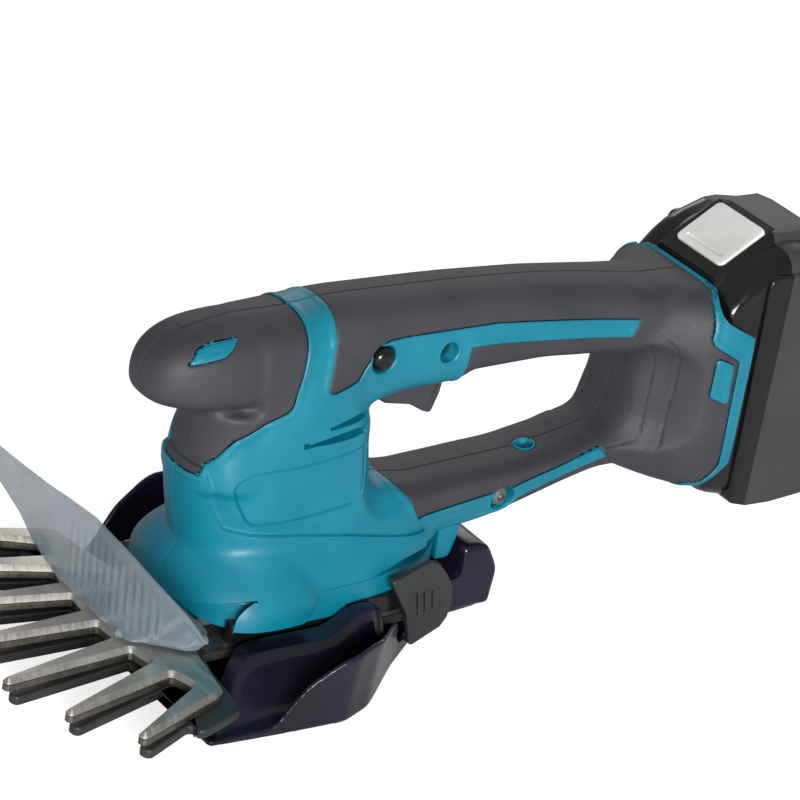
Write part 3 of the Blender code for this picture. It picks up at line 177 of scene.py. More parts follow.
def ground_steel(name, base, dark, rough, pitch, bump):
    """Ground steel: wheel marks across an edge, pitch millimetres apart along it."""
    tree, shader, place = new_finish(name)
    run = add(tree, "ShaderNodeAttribute", attribute_name="run")
    along = add(tree, "ShaderNodeMath", {0: run.outputs["Fac"], 1: 1 / pitch},
                operation="MULTIPLY")
    marks = add(tree, "ShaderNodeTexNoise", {"W": along.outputs[0], "Scale": 1.0, "Detail": 3.0},
                noise_dimensions="1D")
    clouds = add(tree, "ShaderNodeTexNoise", {"Vector": place, "Scale": 1 / GROUND_CLOUDS,
                                              "Detail": 2.0})
    both = add(tree, "ShaderNodeMath", {0: marks.outputs["Fac"], 1: clouds.outputs["Fac"]},
               operation="ADD")
    tone = add(tree, "ShaderNodeMapRange", {"Value": both.outputs[0], "From Min": 0.7,
                                            "From Max": 1.2})
    colour = add(tree, "ShaderNodeMix", {0: tone.outputs[0], 6: linear(dark), 7: linear(base)},
                 data_type="RGBA")
    tree.links.new(colour.outputs[2], shader.inputs["Base Color"])
    relief = add(tree, "ShaderNodeBump", {"Height": marks.outputs["Fac"], "Strength": 1.0,
                                          "Distance": bump * METRES})
    tree.links.new(relief.outputs["Normal"], shader.inputs["Normal"])
    shader.inputs["Roughness"].default_value = rough
    shader.inputs["Metallic"].default_value = 1.0


def make_finishes(look):
    """Every finish of the tool, by a maker's name for it."""
    # ABS housing, spark-eroded mould: satin, with a fine even grain
    moulded("teal_abs", look.teal, "0B7F97", 0.45, 0.012, 0.42, 0.05)
    # TPE overmould: matt rubbery skin with a leathery grain and pale dust on its crests
    moulded("soft_tpe", look.grip, "3E3E44", 0.7, 0.03, 0.6, 0.06)
    # Polished ABS: deep black with a clear reflection
    moulded("gloss_abs", "101113", "18191B", 0.9, 0.002, 0.16, 0.03)
    # Battery sides: the same black with an eroded grain that greys it
    moulded("battery_abs", "38383B", "404043", 0.4, 0.02, 0.5, 0.05)
    # Glass-filled nylon of the guard and the small black parts
    moulded("nylon", "26282A", "343638", 0.5, 0.015, 0.45, 0.06)
    # Smoked polycarbonate of the skirt: near black outside, with purple in soft clouds and flecks
    # all over that is painted light coming through it
    moulded("smoked_pc", "15111D", "201830", 1.2, 0.003, 0.22, 0.04)
    # White ABS button
    moulded("white_abs", look.button, "DEDEDA", 0.5, 0.008, 0.35, 0.04)
    # Stamped spring steel with rolling streaks: pale above, and a darker grey-brown copy below that
    # is painted shade on the lower blade under the upper one
    rolled_steel("blade_steel", "CFCCC4", "B2AFA7", 0.45, 0.0, 1.2, 0.01)
    rolled_steel("shaded_steel", "8A867C", "6C6860", 0.45, 0.4, 1.2, 0.01)
    # Ground cutting edges: bright, with wheel marks across the edge
    ground_steel("ground_steel", "DAD7D0", "B4B1AA", 0.28, 0.45, 0.04)
    # Zinc-plated screws
    rolled_steel("zinc", "A9A9A6", "7C7C7A", 0.32, 0.5, 0.4, 0.01)
    # Clear polycarbonate with a smoke tint: the blades show through it
    clear = moulded("clear_pc", "8E9CA6", "7C8B97", 2.5, 0.004, 0.14, 0.04)
    clear.inputs["Alpha"].default_value = 0.6


# Shapes


def settle(piece, body, finishes, replaced=(), angle=35.0):
    """Bring a finished shape into the frame: its place, finishes, body and replaced nodes."""
    piece.data.transform(Matrix.Scale(METRES, 4) @ Matrix.Translation((-PIVOT_OFFSET, 0, 0)))
    piece.data.materials.clear()
    for finish in finishes:
        piece.data.materials.append(FINISHES[finish])
    piece.data.shade_smooth()
    piece.data.set_sharp_from_angle(angle=math.radians(angle))
    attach(piece, body)
    if replaced:
        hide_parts(*replaced)


def shape(name, bm):
    """A new object from a bmesh."""
    mesh = bpy.data.meshes.new(name)
    bm.to_mesh(mesh)
    bm.free()
    piece = bpy.data.objects.new(name, mesh)
    bpy.context.scene.collection.objects.link(piece)
    return piece


def apply_modifiers(piece):
    """Replace an object's mesh with the one that its modifiers make."""
    depsgraph = bpy.context.evaluated_depsgraph_get()
    made = bpy.data.meshes.new_from_object(piece.evaluated_get(depsgraph))
    piece.modifiers.clear()
    old = piece.data
    piece.data = made
    bpy.data.meshes.remove(old)
    made.name = piece.name


def modify(piece, kind, **settings):
    """Add a modifier with its settings."""
    modifier = piece.modifiers.new(kind.lower(), kind)
    for name, value in settings.items():
        setattr(modifier, name, value)


def refined(sections, step, blur=3):
    """Sections at close, even steps, eased where they change direction."""
    table = np.array(sections, float)
    count = max(2, int((table[-1, 0] - table[0, 0]) / step))
    at = np.linspace(table[0, 0], table[-1, 0], count + 1)
    rows = np.stack([np.interp(at, table[:, 0], column) for column in table.T], 1)
    for _ in range(blur):
        rows[1:-1, 1:] = (rows[:-2, 1:] + 2 * rows[1:-1, 1:] + rows[2:, 1:]) / 4
    return rows


def superellipse(count, power):
    """Points of a unit superellipse."""
    angles = 2 * np.pi * (np.arange(count) + 0.5) / count
    return [tuple(math.copysign(abs(value) ** (2 / power), value)
                  for value in (math.cos(angle), math.sin(angle))) for angle in angles]


def skin(bm, rings):
    """A closed skin bridged over rings of equally many points; returns the rings' corners."""
    levels = []
    for ring in rings:
        made = bmesh.ops.create_circle(bm, segments=len(ring), radius=1.0)["verts"]
        for vert, point in zip(made, ring):
            vert.co = point
        if not levels:
            bm.faces.new(list(reversed(made)))
        else:
            last = levels[-1]
            ends = set(last + made)
            edges = {edge for vert in ends for edge in vert.link_edges
                     if edge.other_vert(vert) in ends
                     and (vert in last) == (edge.other_vert(vert) in last)}
            bmesh.ops.bridge_loops(bm, edges=list(edges))
        levels.append(made)
    bm.faces.new(levels[-1])
    bmesh.ops.recalc_face_normals(bm, faces=bm.faces)
    return levels


# How a flat outline lies in the tool, by the two directions that it is drawn in
PLANES = {
    "XY": lambda a, b, level: (a, b, level),
    "XZ": lambda a, b, level: (a, level, b),
    "ZY": lambda a, b, level: (level, b, a),
}
RIM_STEPS = 4


def slab(bm, outline, low, high, edge, plane="XY"):
    """An outline with thickness, from low to high across its plane, its two rims rounded."""
    levels = []
    for k in reversed(range(RIM_STEPS + 1)):
        turn = math.pi / 2 * k / RIM_STEPS
        levels.append((low + edge * (1 - math.sin(turn)), -edge * (1 - math.cos(turn))))
    levels += [(low + high - level, growth) for level, growth in reversed(levels)]
    return skin(bm, [[PLANES[plane](a, b, level) for a, b in grown(outline, growth - HAIR)]
                     for level, growth in levels])


def mirror_twin(piece, name):
    """A copy of a piece on the tool's other side."""
    bm = bmesh.new()
    bm.from_mesh(piece.data)
    bmesh.ops.transform(bm, matrix=Matrix.Diagonal((1, -1, 1, 1)), verts=bm.verts)
    bmesh.ops.reverse_faces(bm, faces=bm.faces)
    return shape(name, bm)


def carve(piece, tool, operation="DIFFERENCE"):
    """Cut or join a piece with a tool, which is then removed."""
    modify(piece, "BOOLEAN", operation=operation, solver="EXACT", object=tool)
    apply_modifiers(piece)
    bpy.data.objects.remove(tool)


RING_POINTS = 56


def plan_of(front, rear, belly, half, power, count=RING_POINTS):
    """A plan outline that is widest at its belly."""
    return [(belly + along * (rear - belly if along > 0 else belly - front), across * half)
            for along, across in superellipse(count, power)]


def level_rings(sections, step=3.0):
    """Level rings over sections (z, front, rear, belly, half width, power)."""
    return [[(x, y, z) for x, y in plan_of(*plan)] for z, *plan in refined(sections, step)]


def long_rings(sections, step=3.0):
    """Upright rings over sections (x, bottom, top, half width, power) along X."""
    rings = []
    for x, bottom, top, half, power in refined(sections, step):
        middle = (bottom + top) / 2
        rings.append([(x, across * half, middle + upward * (top - middle))
                      for across, upward in superellipse(RING_POINTS, power)])
    return rings


def rounded(corners, steps=5):
    """An outline whose corners, given as (a, b, radius), are rounded with arcs."""
    points = []
    for i, (a, b, radius) in enumerate(corners):
        here = Vector((a, b))
        if radius == 0:
            points.append(tuple(here))
            continue
        to_last = (Vector(corners[i - 1][:2]) - here).normalized()
        to_next = (Vector(corners[(i + 1) % len(corners)][:2]) - here).normalized()
        half = to_last.angle(to_next) / 2
        centre = here + (to_last + to_next).normalized() * (radius / math.sin(half))
        first = here + to_last * (radius / math.tan(half)) - centre
        last = here + to_next * (radius / math.tan(half)) - centre
        start = math.atan2(first.y, first.x)
        sweep = (math.atan2(last.y, last.x) - start + math.pi) % (2 * math.pi) - math.pi
        for k in range(steps + 1):
            angle = start + sweep * k / steps
            points.append(tuple(centre + radius * Vector((math.cos(angle), math.sin(angle)))))
    return points


def plate(front, rear, low, high, corner, steps=5):
    """A rectangle with round corners, from front to rear one way and low to high the other."""
    return rounded([(front, low, corner), (rear, low, corner), (rear, high, corner),
                    (front, high, corner)], steps)


def on_side(side, inner, outer):
    """Two distances from the middle plane as places on one side of the tool, the lower first."""
    return sorted((side * inner, side * outer))


def grown(outline, distance):
    """The outline moved outwards all round by a distance."""
    area = sum(a[0] * b[1] - b[0] * a[1] for a, b in zip(outline, outline[1:] + outline[:1]))
    turn = 1 if area > 0 else -1
    points = []
    for i, point in enumerate(outline):
        before = (Vector(point) - Vector(outline[i - 1])).normalized()
        after = (Vector(outline[(i + 1) % len(outline)]) - Vector(point)).normalized()
        normal = Vector((before.y + after.y, -before.x - after.x)).normalized() * turn
        spread = max(0.5, normal.dot(Vector((before.y, -before.x)) * turn))
        points.append(tuple(Vector(point) + normal * distance / spread))
    return points


# Lines and reliefs on a skin


def side_outline(outline, closed=True):
    """A field of the distance from an outline in the side view, positive inside a closed one."""
    points = np.array(outline, float)
    ends = np.roll(points, -1, 0) if closed else points[1:]
    starts = points if closed else points[:-1]

    def field(places):
        px, pz = places[:, 0], places[:, 2]
        best = np.full(len(places), 1e9)
        inside = np.zeros(len(places), bool)
        for (ax, az), (bx, bz) in zip(starts, ends):
            dx, dz = bx - ax, bz - az
            part = np.clip(((px - ax) * dx + (pz - az) * dz) / (dx * dx + dz * dz), 0, 1)
            best = np.minimum(best, np.hypot(px - ax - part * dx, pz - az - part * dz))
            if az != bz:
                crosses = (az > pz) != (bz > pz)
                inside ^= crosses & (px < ax + (pz - az) * dx / dz)
        return np.where(inside, best, -best) if closed else best
    return field


def near_side(field):
    """A field that holds only on the tool's left side."""
    return lambda places: np.where(places[:, 1] < 0, field(places), NOWHERE)


def places_of(bm):
    """The corners of a bmesh as rows."""
    bm.verts.index_update()
    return np.array([vert.co[:] for vert in bm.verts])


# A corner this near to a line, as a share of its edge, moves onto it
SNAP = 0.12


def score(bm, field, *levels):
    """Cut a line into a skin along each level of a field."""
    for level in levels:
        values = field(places_of(bm)) - level
        crossing = []
        for edge in bm.edges:
            a, b = edge.verts
            if values[a.index] * values[b.index] < 0:
                crossing.append(edge)
        line = set()
        for edge in crossing:
            a, b = edge.verts
            if values[a.index] * values[b.index] >= 0:
                continue
            part = values[a.index] / (values[a.index] - values[b.index])
            if part < SNAP or part > 1 - SNAP:
                moved, other = (a, b) if part < 0.5 else (b, a)
                moved.co = moved.co.lerp(other.co, min(part, 1 - part))
                values[moved.index] = 0.0
                line.add(moved)
        for edge in crossing:
            a, b = edge.verts
            if values[a.index] * values[b.index] < 0:
                part = values[a.index] / (values[a.index] - values[b.index])
                line.add(bmesh.utils.edge_split(edge, a, part)[1])
        bmesh.ops.connect_verts(bm, verts=list(line))


def press(bm, field, profile, straight=None):
    """Move each corner of a skin inwards by a depth that depends on the field there."""
    bm.normal_update()
    depths = profile(field(places_of(bm)))
    for vert, depth in zip(bm.verts, depths):
        if depth:
            vert.co -= (straight(vert) if straight else vert.normal) * float(depth)


def sideways(vert):
    """Straight out of the tool's side at a corner of its skin."""
    return Vector((0, math.copysign(1, vert.co.y), 0))


def upwards(vert):
    """Straight up."""
    return Vector((0, 0, 1))


def steps(*pairs):
    """A profile through (field value, depth) pairs."""
    at, depth = zip(*pairs)
    return lambda values: np.interp(values, at, depth)


def keep(bm, field, low, high=1e9):
    """Remove the faces whose middle lies outside a range of a field."""
    bm.faces.ensure_lookup_table()
    middles = np.array([face.calc_center_median()[:] for face in bm.faces])
    values = field(middles)
    lost = [bm.faces[i] for i in np.nonzero((values < low) | (values > high))[0]]
    bmesh.ops.delete(bm, geom=lost, context="FACES")


# Housing


# Level stations of the outer form: z, front, rear, belly, half width, power of its curve
BODY = (
    (24, -96, 4, -60, 30, 2.2),
    (28, -97, 10, -60, 32.5, 2.2),
    (36, -98, 12, -60, 32.5, 2.2),
    (42, -98.5, 9, -62, 28.5, 2.2),
    (49, -100.5, 4, -64, 25.5, 2.2),
    (57, -102.5, -4, -64, 24.5, 2.25),
    (70, -105, -12, -60, 24.5, 2.3),
    (84, -103, -28, -60, 24.5, 2.4),
    (97, -98, -34, -60, 23.5, 2.4),
    (112, -84, -30, -57, 21.5, 2.5),
    (126, -70, -40, -55, 18, 2.5),
)
FLANGE = (
    (20, -103, -52, -76, 37.5, 3),
    (24.3, -103.5, -50, -76, 38.2, 3),
    (31, -106, -47, -76, 38.6, 2.7),
    (34, -106, -46, -76, 37.5, 2.6),
    (37, -104, -47, -76, 34.5, 2.4),
    (41, -101, -51, -75, 30.5, 2.3),
    (47, -97, -55, -74, 26, 2.2),
)
KNOB = (
    (97, -104, -70, -86, 9, 2.6),
    (101, -104, -70, -86, 9.4, 2.6),
    (101.5, -110, -66, -86, 12, 2.6),
    (102.2, -117.4, -62, -86, 15.4, 2.6),
    (103.4, -121.8, -60, -86, 17.6, 2.6),
    (106, -125.2, -60, -86, 19.2, 2.6),
    (112, -125.8, -60, -86, 19.5, 2.6),
    (118, -125.1, -60, -86, 19.2, 2.6),
    (122, -123, -60, -86, 18.2, 2.6),
    (126, -118.7, -60, -86, 16, 2.6),
    (129, -112.3, -60, -86, 12.9, 2.6),
    (131, -103.7, -60, -86, 8.7, 2.6),
    (132.2, -92, -60, -86, 4, 2.6),
)
NECK = (
    (70, -104.5, -60, -84, 22, 2.3),
    (77, -104.5, -50, -84, 21.5, 2.3),
    (85, -101.5, -50, -82, 20.5, 2.4),
    (92, -101, -50, -82, 20, 2.4),
    (100, -104, -50, -82, 20, 2.4),
)
# Upright stations along X of the same form: x, bottom, top, half width, power
HANDLE = (
    (-85, 88, 131, 20.5, 2.8),
    (-70, 84, 132, 21, 2.8),
    (-58, 80, 133.5, 20.5, 2.8),
    (-46, 84, 134, 20, 2.8),
    (-34, 92, 133.6, 19, 2.8),
    (-20, 95, 133.3, 18.5, 2.8),
    (3, 95, 132.8, 18, 2.8),
    (40, 95, 130.6, 17.5, 2.8),
    (62, 95, 128, 18, 2.8),
    (78, 95, 125.6, 19.5, 2.8),
    (90, 90, 124, 22, 2.8),
)
BAR = (
    (-40, 36, 72, 20, 3),
    (-20, 36, 72, 18, 3),
    (5, 31.5, 73, 16.5, 3),
    (25, 33, 75, 16, 3),
    (42, 37, 78, 16, 3),
    (62, 43, 84, 16.5, 3),
    (78, 47.5, 92, 18, 3),
    (90, 48, 98, 21, 3),
)
HOOD = (
    (60, 60, 118, 15, 2.6),
    (68, 56, 122, 17, 2.6),
    (76, 52.5, 123.5, 19.5, 2.7),
    (84, 49, 124, 22.5, 2.8),
    (93, 45, 124, 27, 3.0),
    (100, 43, 123.8, 31.5, 3.6),
    (106, 42.3, 123.6, 34.5, 4.5),
    (113, 41.5, 123.5, 36, 6),
    (128, 41, 123.5, 36, 6),
)
# The finger loop's opening in the side view: x, z, corner radius
LOOP = (
    (-32, 93, 5), (-31, 80, 30), (-27.5, 60, 8), (-5, 55.6, 40), (44, 58, 60), (64, 61.3, 30),
    (86.8, 66.5, 11), (86, 95, 6), (67, 98.3, 30), (40, 100.6, 60), (9, 100, 4), (2, 96.5, 4),
    (-20, 95, 60),
)
# How the opening widens out to the sides: distance from the middle plane, growth
LOOP_FLARE = ((50, 32), (30, 15.5), (22, 9.5), (17, 4.5), (14, 1.8), (10, 0.3), (6, 0))
VOXEL = 1.15

# Side outline of the whole moulding: its bottom edge, and the hood's rim over the battery
SHELL = [
    (-140, 24.3), (-66, 24.3), (-56, 32.4), (-34, 32.4), (-18, 35.5), (4, 36), (22, 31),
    (60, 20), (107, 30), (107, 41.5), (112.8, 44.5), (122.6, 56), (122.6, 108.4), (121.9, 108.8),
    (110.5, 115.0), (108.6, 117.5), (108.4, 120.0), (109.6, 122.2), (112.4, 123.3), (113.4, 124),
    (113.4, 145), (-140, 145),
]
# Side outlines of the soft grips
FRONT_GRIP = [
    (-145, 74), (-106, 75), (-103, 76), (-93.5, 91), (-84, 97), (-75.5, 101), (-73.6, 103),
    (-72, 110), (-69, 124), (-66, 145), (-145, 145),
]
REAR_GRIP = [
    (-52, 150), (-56.6, 128), (-59.8, 107.5), (-59, 106.2), (-57.5, 106), (-47, 109), (-42, 116),
    (-38, 120), (-34, 121.6), (-27, 122), (14, 121.4), (79, 114.7), (76.5, 107.7), (15, 113.2),
    (3, 113.4), (3, 85), (-24, 76), (-30, 70), (-18.5, 60), (-12, 54), (-7, 45), (26, 48.7),
    (36, 49.6), (74.4, 60.5), (77.7, 56.6), (41, 44.4), (36, 38.8), (24.7, 37), (10, 35.7),
    (4, 30), (4, 10), (107.8, 10), (107.8, 46.2), (112.4, 47.5), (117.7, 55.7), (117, 86),
    (116.8, 99.8), (105.5, 106.5), (104.4, 109), (105.4, 114.5), (105.8, 118.5), (107.2, 121.6),
    (110.8, 123.1), (112.0, 124), (112.0, 150),
]
# Slots and the outlined panel on the body's side
VENTS = (
    [(-61.0, 93.0), (-54.2, 94.5), (-46.9, 95.7), (-38.4, 95.4), (-38.8, 92.8), (-51.7, 92.8)],
    [(-70.9, 87.3), (-60.1, 89.5), (-51.4, 91.0), (-39.5, 90.4), (-39.8, 87.6), (-57.7, 87.4)],
)
PANEL = ((-84.6, 78.5, 2), (-37.5, 83.0, 1.5), (-36.8, 70, 2), (-38.5, 63.7, 1.5), (-42.6, 61, 1.5),
         (-83.5, 57.8, 2), (-86.5, 60.2, 1), (-92.6, 72.1, 1.5), (-91.4, 75.6, 1.5))
# Contour lines on the hood's side, in front of the battery
REAR_LINES = (
    [(86.0, 111.3), (89.4, 107.6), (93.5, 103.4), (96.0, 99.1), (97.3, 94.0), (97.5, 85.0),
     (97.0, 75.1), (96.5, 67.9), (95.5, 63.7), (94.0, 61.2), (90.2, 58.6), (85.8, 54.8)],
    [(79.8, 105.6), (85.9, 101.4), (90.3, 96.8), (91.5, 91.9), (91.5, 81.9), (91.4, 72.2),
     (90.4, 66.1), (88.3, 63.2), (84.3, 61.4), (77.4, 60.2)],
)
# Wells in the side, as x, z and radius: the lock-off button's, then the two screws'
LOCK_OFF = (-36.1, 114.9, 5.4)
SCREW_WELLS = ((-6.8, 112.9, 4.0), (32.8, 45.4, 5.4))
SCREW_COLLAR = 1.6
WELL_DEPTH = 4.0
# Teal seen through the soft grip: the well in the lower bar's top, as x, y and radius, with its
# lowest and highest z, and the patch in the rear block
BAR_WELL = (49.5, -2.0, 4.3)
BAR_WELL_SPAN = (50, 70)
REAR_PATCH = ((107, 102, 1.5), (114.6, 98.6, 2), (115.6, 81.4, 1.5), (106.9, 85.6, 1.5))

# The notch in the flange's left front: its rear, its outer and inner sides, and its top at the
# inner side, which rises outwards by this much per millimetre
NOTCH_REAR = -86.0
NOTCH_SIDES = (-34.5, -7.0)
NOTCH_TOP = 25.5
NOTCH_RISE = 0.36

# The teal leaf on the left of the knob
INLAY = [(-114.4, 121.7), (-110.4, 126.0), (-105.5, 127.7), (-94.8, 128.7), (-98.4, 125.6),
         (-101.5, 123.8), (-113.5, 121.5)]

# Lower part of the body, which stands out below the long crease
LEDGE = [(-100.9, 79.3), (-96.8, 64.1), (-93.1, 56.8), (-84.9, 55.1), (-65, 53.3), (-42.9, 49.3),
         (-13.8, 42.4), (-4, 41), (-4, 20), (-130, 20), (-130, 79.3)]

# Walls of the shells and of the soft grips
SHELL_WALL = 2.6
GRIP_WALL = 1.8
# Height of the teal's rim round the grips
RIM_HEIGHT = 0.4
# The groove on the middle plane: its half width and depth
MIDDLE_GROOVE = (0.5, 0.3)


def circle(x, z, radius, count=40):
    """A round outline in the side view."""
    return [(x + radius * math.cos(2 * math.pi * i / count),
             z + radius * math.sin(2 * math.pi * i / count)) for i in range(count)]


def outer_form():
    """The one smooth outer form that the shells and the soft grips share."""
    bm = bmesh.new()
    for rings in (level_rings(BODY), level_rings(FLANGE), level_rings(NECK),
                  level_rings(KNOB, 1.5), long_rings(HANDLE), long_rings(BAR), long_rings(HOOD)):
        skin(bm, rings)
    form = shape("outer_form", bm)
    opening = rounded(LOOP)
    levels = [(-y, growth) for y, growth in LOOP_FLARE]
    levels += [(y, growth) for y, growth in reversed(LOOP_FLARE)]
    bm = bmesh.new()
    skin(bm, [[(x, y, z) for x, z in grown(opening, growth)] for y, growth in levels])
    cutter = shape("loop_cutter", bm)
    modify(form, "REMESH", mode="VOXEL", voxel_size=VOXEL, adaptivity=0.0)
    modify(form, "BOOLEAN", operation="DIFFERENCE", solver="EXACT", object=cutter)
    modify(form, "REMESH", mode="VOXEL", voxel_size=VOXEL, adaptivity=0.0)
    modify(form, "SMOOTH", factor=0.5, iterations=7)
    apply_modifiers(form)
    bpy.data.objects.remove(cutter)
    return form


def carve_housing(bm):
    """The ledge, panel, vents, contour lines and wells in the outer form.

    Each profile pairs a place in a field with the depth pressed in there.
    """
    ledge = side_outline(LEDGE)
    score(bm, ledge, -0.6, 0.0, 0.7, 2.2)
    press(bm, ledge, steps((-5, 0), (-0.6, 0.5), (0.0, 0.35), (0.7, -0.75), (2.2, -0.8), (12, 0)))
    panel = side_outline(rounded(PANEL))
    score(bm, panel, -0.55, 0.0, 0.55)
    press(bm, panel, steps((-0.5, 0), (0, 0.8), (0.5, 0.25)))
    for outline in VENTS:
        vent = side_outline(outline)
        score(bm, vent, 0.0, 0.25)
        press(bm, vent, steps((0.0, 0), (0.24, WELL_DEPTH)), sideways)
    for outline in REAR_LINES:
        line = side_outline(outline, closed=False)
        score(bm, line, 0.9, 0.3, 0.12)
        press(bm, line, steps((0.12, 0.4), (0.3, 0.12), (0.9, 0)))
    lock = side_outline(circle(*LOCK_OFF))
    score(bm, lock, -0.5, 0.0, 0.3)
    press(bm, lock, steps((-0.5, 0), (0, 0.4), (0.28, WELL_DEPTH)), sideways)
    for well in SCREW_WELLS:
        recess = near_side(side_outline(circle(*well)))
        score(bm, recess, -SCREW_COLLAR, -0.5, 0.0, 0.3)
        press(bm, recess, steps((-SCREW_COLLAR, 0), (-0.9, -0.35), (-0.4, -0.35), (0, 0),
                                (0.28, WELL_DEPTH + 1.0)), sideways)


def cut_across(bm, y, side):
    """Cut a skin along an upright plane at y, and take off the side given as 1 or -1, if any."""
    bmesh.ops.bisect_plane(bm, geom=bm.verts[:] + bm.edges[:] + bm.faces[:], plane_co=(0, y, 0),
                           plane_no=(0, side or 1, 0), clear_outer=bool(side), dist=1e-4)


def bar_well(places):
    """A field that is positive in the round well in the top of the lower bar."""
    x, y, z = places.T
    well_x, well_y, radius = BAR_WELL
    depth = radius - np.hypot(x - well_x, y - well_y)
    return np.where((z > BAR_WELL_SPAN[0]) & (z < BAR_WELL_SPAN[1]), depth, NOWHERE)


def flange_notch(places):
    """A field that is positive where the flange's left front is cut away over the gear case."""
    x, y, z = places.T
    outer, inner = NOTCH_SIDES
    top = NOTCH_TOP + NOTCH_RISE * (inner - y)
    return np.minimum.reduce([top - z, y - outer, inner - y, NOTCH_REAR - x])


def shells_from(form, seam):
    """Left and right shells and soft grips, cut from the outer form with a seam between them.

    The teal rises in a fine rim round each grip, and the grip's own edge dips beside it.
    """
    front_edge = side_outline(FRONT_GRIP)
    leaf = near_side(side_outline(INLAY))
    front = lambda places: np.minimum(front_edge(places), -leaf(places))
    rear_edge = side_outline(REAR_GRIP)
    patch = side_outline(rounded(REAR_PATCH))
    rear = lambda places: np.minimum.reduce([rear_edge(places), -bar_well(places), -patch(places)])
    whole = side_outline(SHELL)
    half_gap = seam / 2
    bm = bmesh.new()
    bm.from_mesh(form.data)
    carve_housing(bm)
    score(bm, whole, 0.0)
    keep(bm, whole, 0.0)
    score(bm, flange_notch, 0.0)
    keep(bm, flange_notch, -1e9, 0.0)
    score(bm, bar_well, 0.5, 0.8)
    press(bm, bar_well, steps((0.5, 0), (0.8, 2.5)), upwards)
    # From the teal over its rim and the seam onto the grip
    for zone in (front, rear):
        score(bm, zone, -1.7, -half_gap - 0.4, -half_gap, half_gap, half_gap + 0.35,
              half_gap + 1.0)
        press(bm, zone, steps((-2.6, 0), (-1.7, -RIM_HEIGHT), (-half_gap - 0.4, -RIM_HEIGHT),
                              (-half_gap, -0.1), (half_gap, 0.4), (half_gap + 0.35, 0.15),
                              (half_gap + 1.0, 0)))
    groove_half, groove_depth = MIDDLE_GROOVE
    for y in (-groove_half, 0.0, groove_half):
        cut_across(bm, y, 0)
    press(bm, lambda places: np.abs(places[:, 1]), steps((0, groove_depth), (groove_half, 0)))
    whole_mesh = bpy.data.meshes.new("carved")
    bm.to_mesh(whole_mesh)
    bm.free()
    tests = {
        "shell": lambda places: np.minimum(-front(places), -rear(places)) - half_gap,
        "knob_skin": lambda places: front(places) - half_gap,
        "handle_skin": lambda places: rear(places) - half_gap,
    }
    pieces = {}
    for side, sign in (("left", -1), ("right", 1)):
        for name, test in tests.items():
            bm = bmesh.new()
            bm.from_mesh(whole_mesh)
            cut_across(bm, sign * half_gap / 2, -sign)
            keep(bm, test, 0.0)
            piece = shape(side + "_" + name, bm)
            modify(piece, "SOLIDIFY", thickness=SHELL_WALL if name == "shell" else GRIP_WALL,
                   offset=-1.0, use_even_offset=False)
            apply_modifiers(piece)
            pieces[piece.name] = piece
    bpy.data.meshes.remove(whole_mesh)
    return pieces


# Blades and guard


# Levels of the stack: (bottom, top) of the guard, of both blades and of the gear case
GUARD_SPAN = (10.6, 14.2)
LOWER_SPAN = (14.5, 16.8)
UPPER_SPAN = (17.1, 19.4)
CASE_SPAN = (19.9, 31.9)
TEETH = 7
TOOTH_PITCH = math.radians(8.5)
ROOT_RADIUS = 131.0
TIP_REACH = 184.0
# The tips lie on an arc of this radius
TIP_ARC = 104.0
TOOTH_ROOT_WIDTH = 10.0
TOOTH_TIP_WIDTH = 3.6
# Half width of each blade behind its teeth
UPPER_TANG = 17.0
LOWER_TANG = 30.0
# Width of the lower blade's narrow bevel, and the small bevels on top
LOWER_GROUND = 0.12
UPPER_BEVEL = 0.1
LOWER_BEVEL = 0.12
# The guard's fingers bend down in front of their root over this run
FINGER_ROOT = -126.0
FINGER_RUN = 20.0


def comb(root_width, tip_width, reach, root_round=1.6, tip_round=1.7):
    """Corners of the teeth, from the tool's left to its right."""
    corners = []
    for index in range(TEETH):
        angle = (index - (TEETH - 1) / 2) * TOOTH_PITCH
        along = Vector((-math.cos(angle), math.sin(angle)))
        side = Vector((along.y, -along.x))
        middle = reach - TIP_ARC
        tip = -along.x * middle + math.sqrt(TIP_ARC ** 2 - (along.y * middle) ** 2)
        for place, width, radius in ((ROOT_RADIUS, -root_width, root_round),
                                     (tip, -tip_width, tip_round), (tip, tip_width, tip_round),
                                     (ROOT_RADIUS, root_width, root_round)):
            point = along * place + side * width / 2
            corners.append((point.x, point.y, radius))
    return corners


def with_back(front, back):
    """A plate's outline: its front corners and its back ones, which are drawn for one side."""
    return rounded(front + back + [(x, -y, radius) for x, y, radius in reversed(back)], 4)


def blade_plate(name, tang, span, ground, chamfer):
    """A comb blade; its cutting edges are ground back by one width over its whole thickness."""
    teeth = comb(TOOTH_ROOT_WIDTH, TOOTH_TIP_WIDTH, TIP_REACH)
    root = Vector(teeth[-1][:2]) + Vector((4.5, -3.2))
    back = [(root.x, root.y, 1.5), (-104, tang, 3), (-14, tang, 6), (4, tang * 0.62, 4),
            (8, tang * 0.3, 2)]
    outline = with_back(teeth, back)
    low, high = span
    bm = bmesh.new()
    run = bm.verts.layers.float.new("run")
    rings = [(low, -0.15), (low + 0.15, 0.0), (low + 0.3, 0.0), (high - chamfer, -ground),
             (high, -ground - chamfer)]
    levels = skin(bm, [[(a, b, z) for a, b in grown(outline, growth - HAIR)]
                       for z, growth in rings])
    reach = 0.0
    for i, point in enumerate(outline):
        reach += (Vector(point) - Vector(outline[i - 1])).length if i else 0.0
        for level in levels:
            level[i][run] = reach
    bm.normal_update()
    # The sloping faces take the second finish, as ground edges
    for face in bm.faces:
        face.material_index = int(0.1 < face.normal.z < 0.97)
    return shape(name, bm)


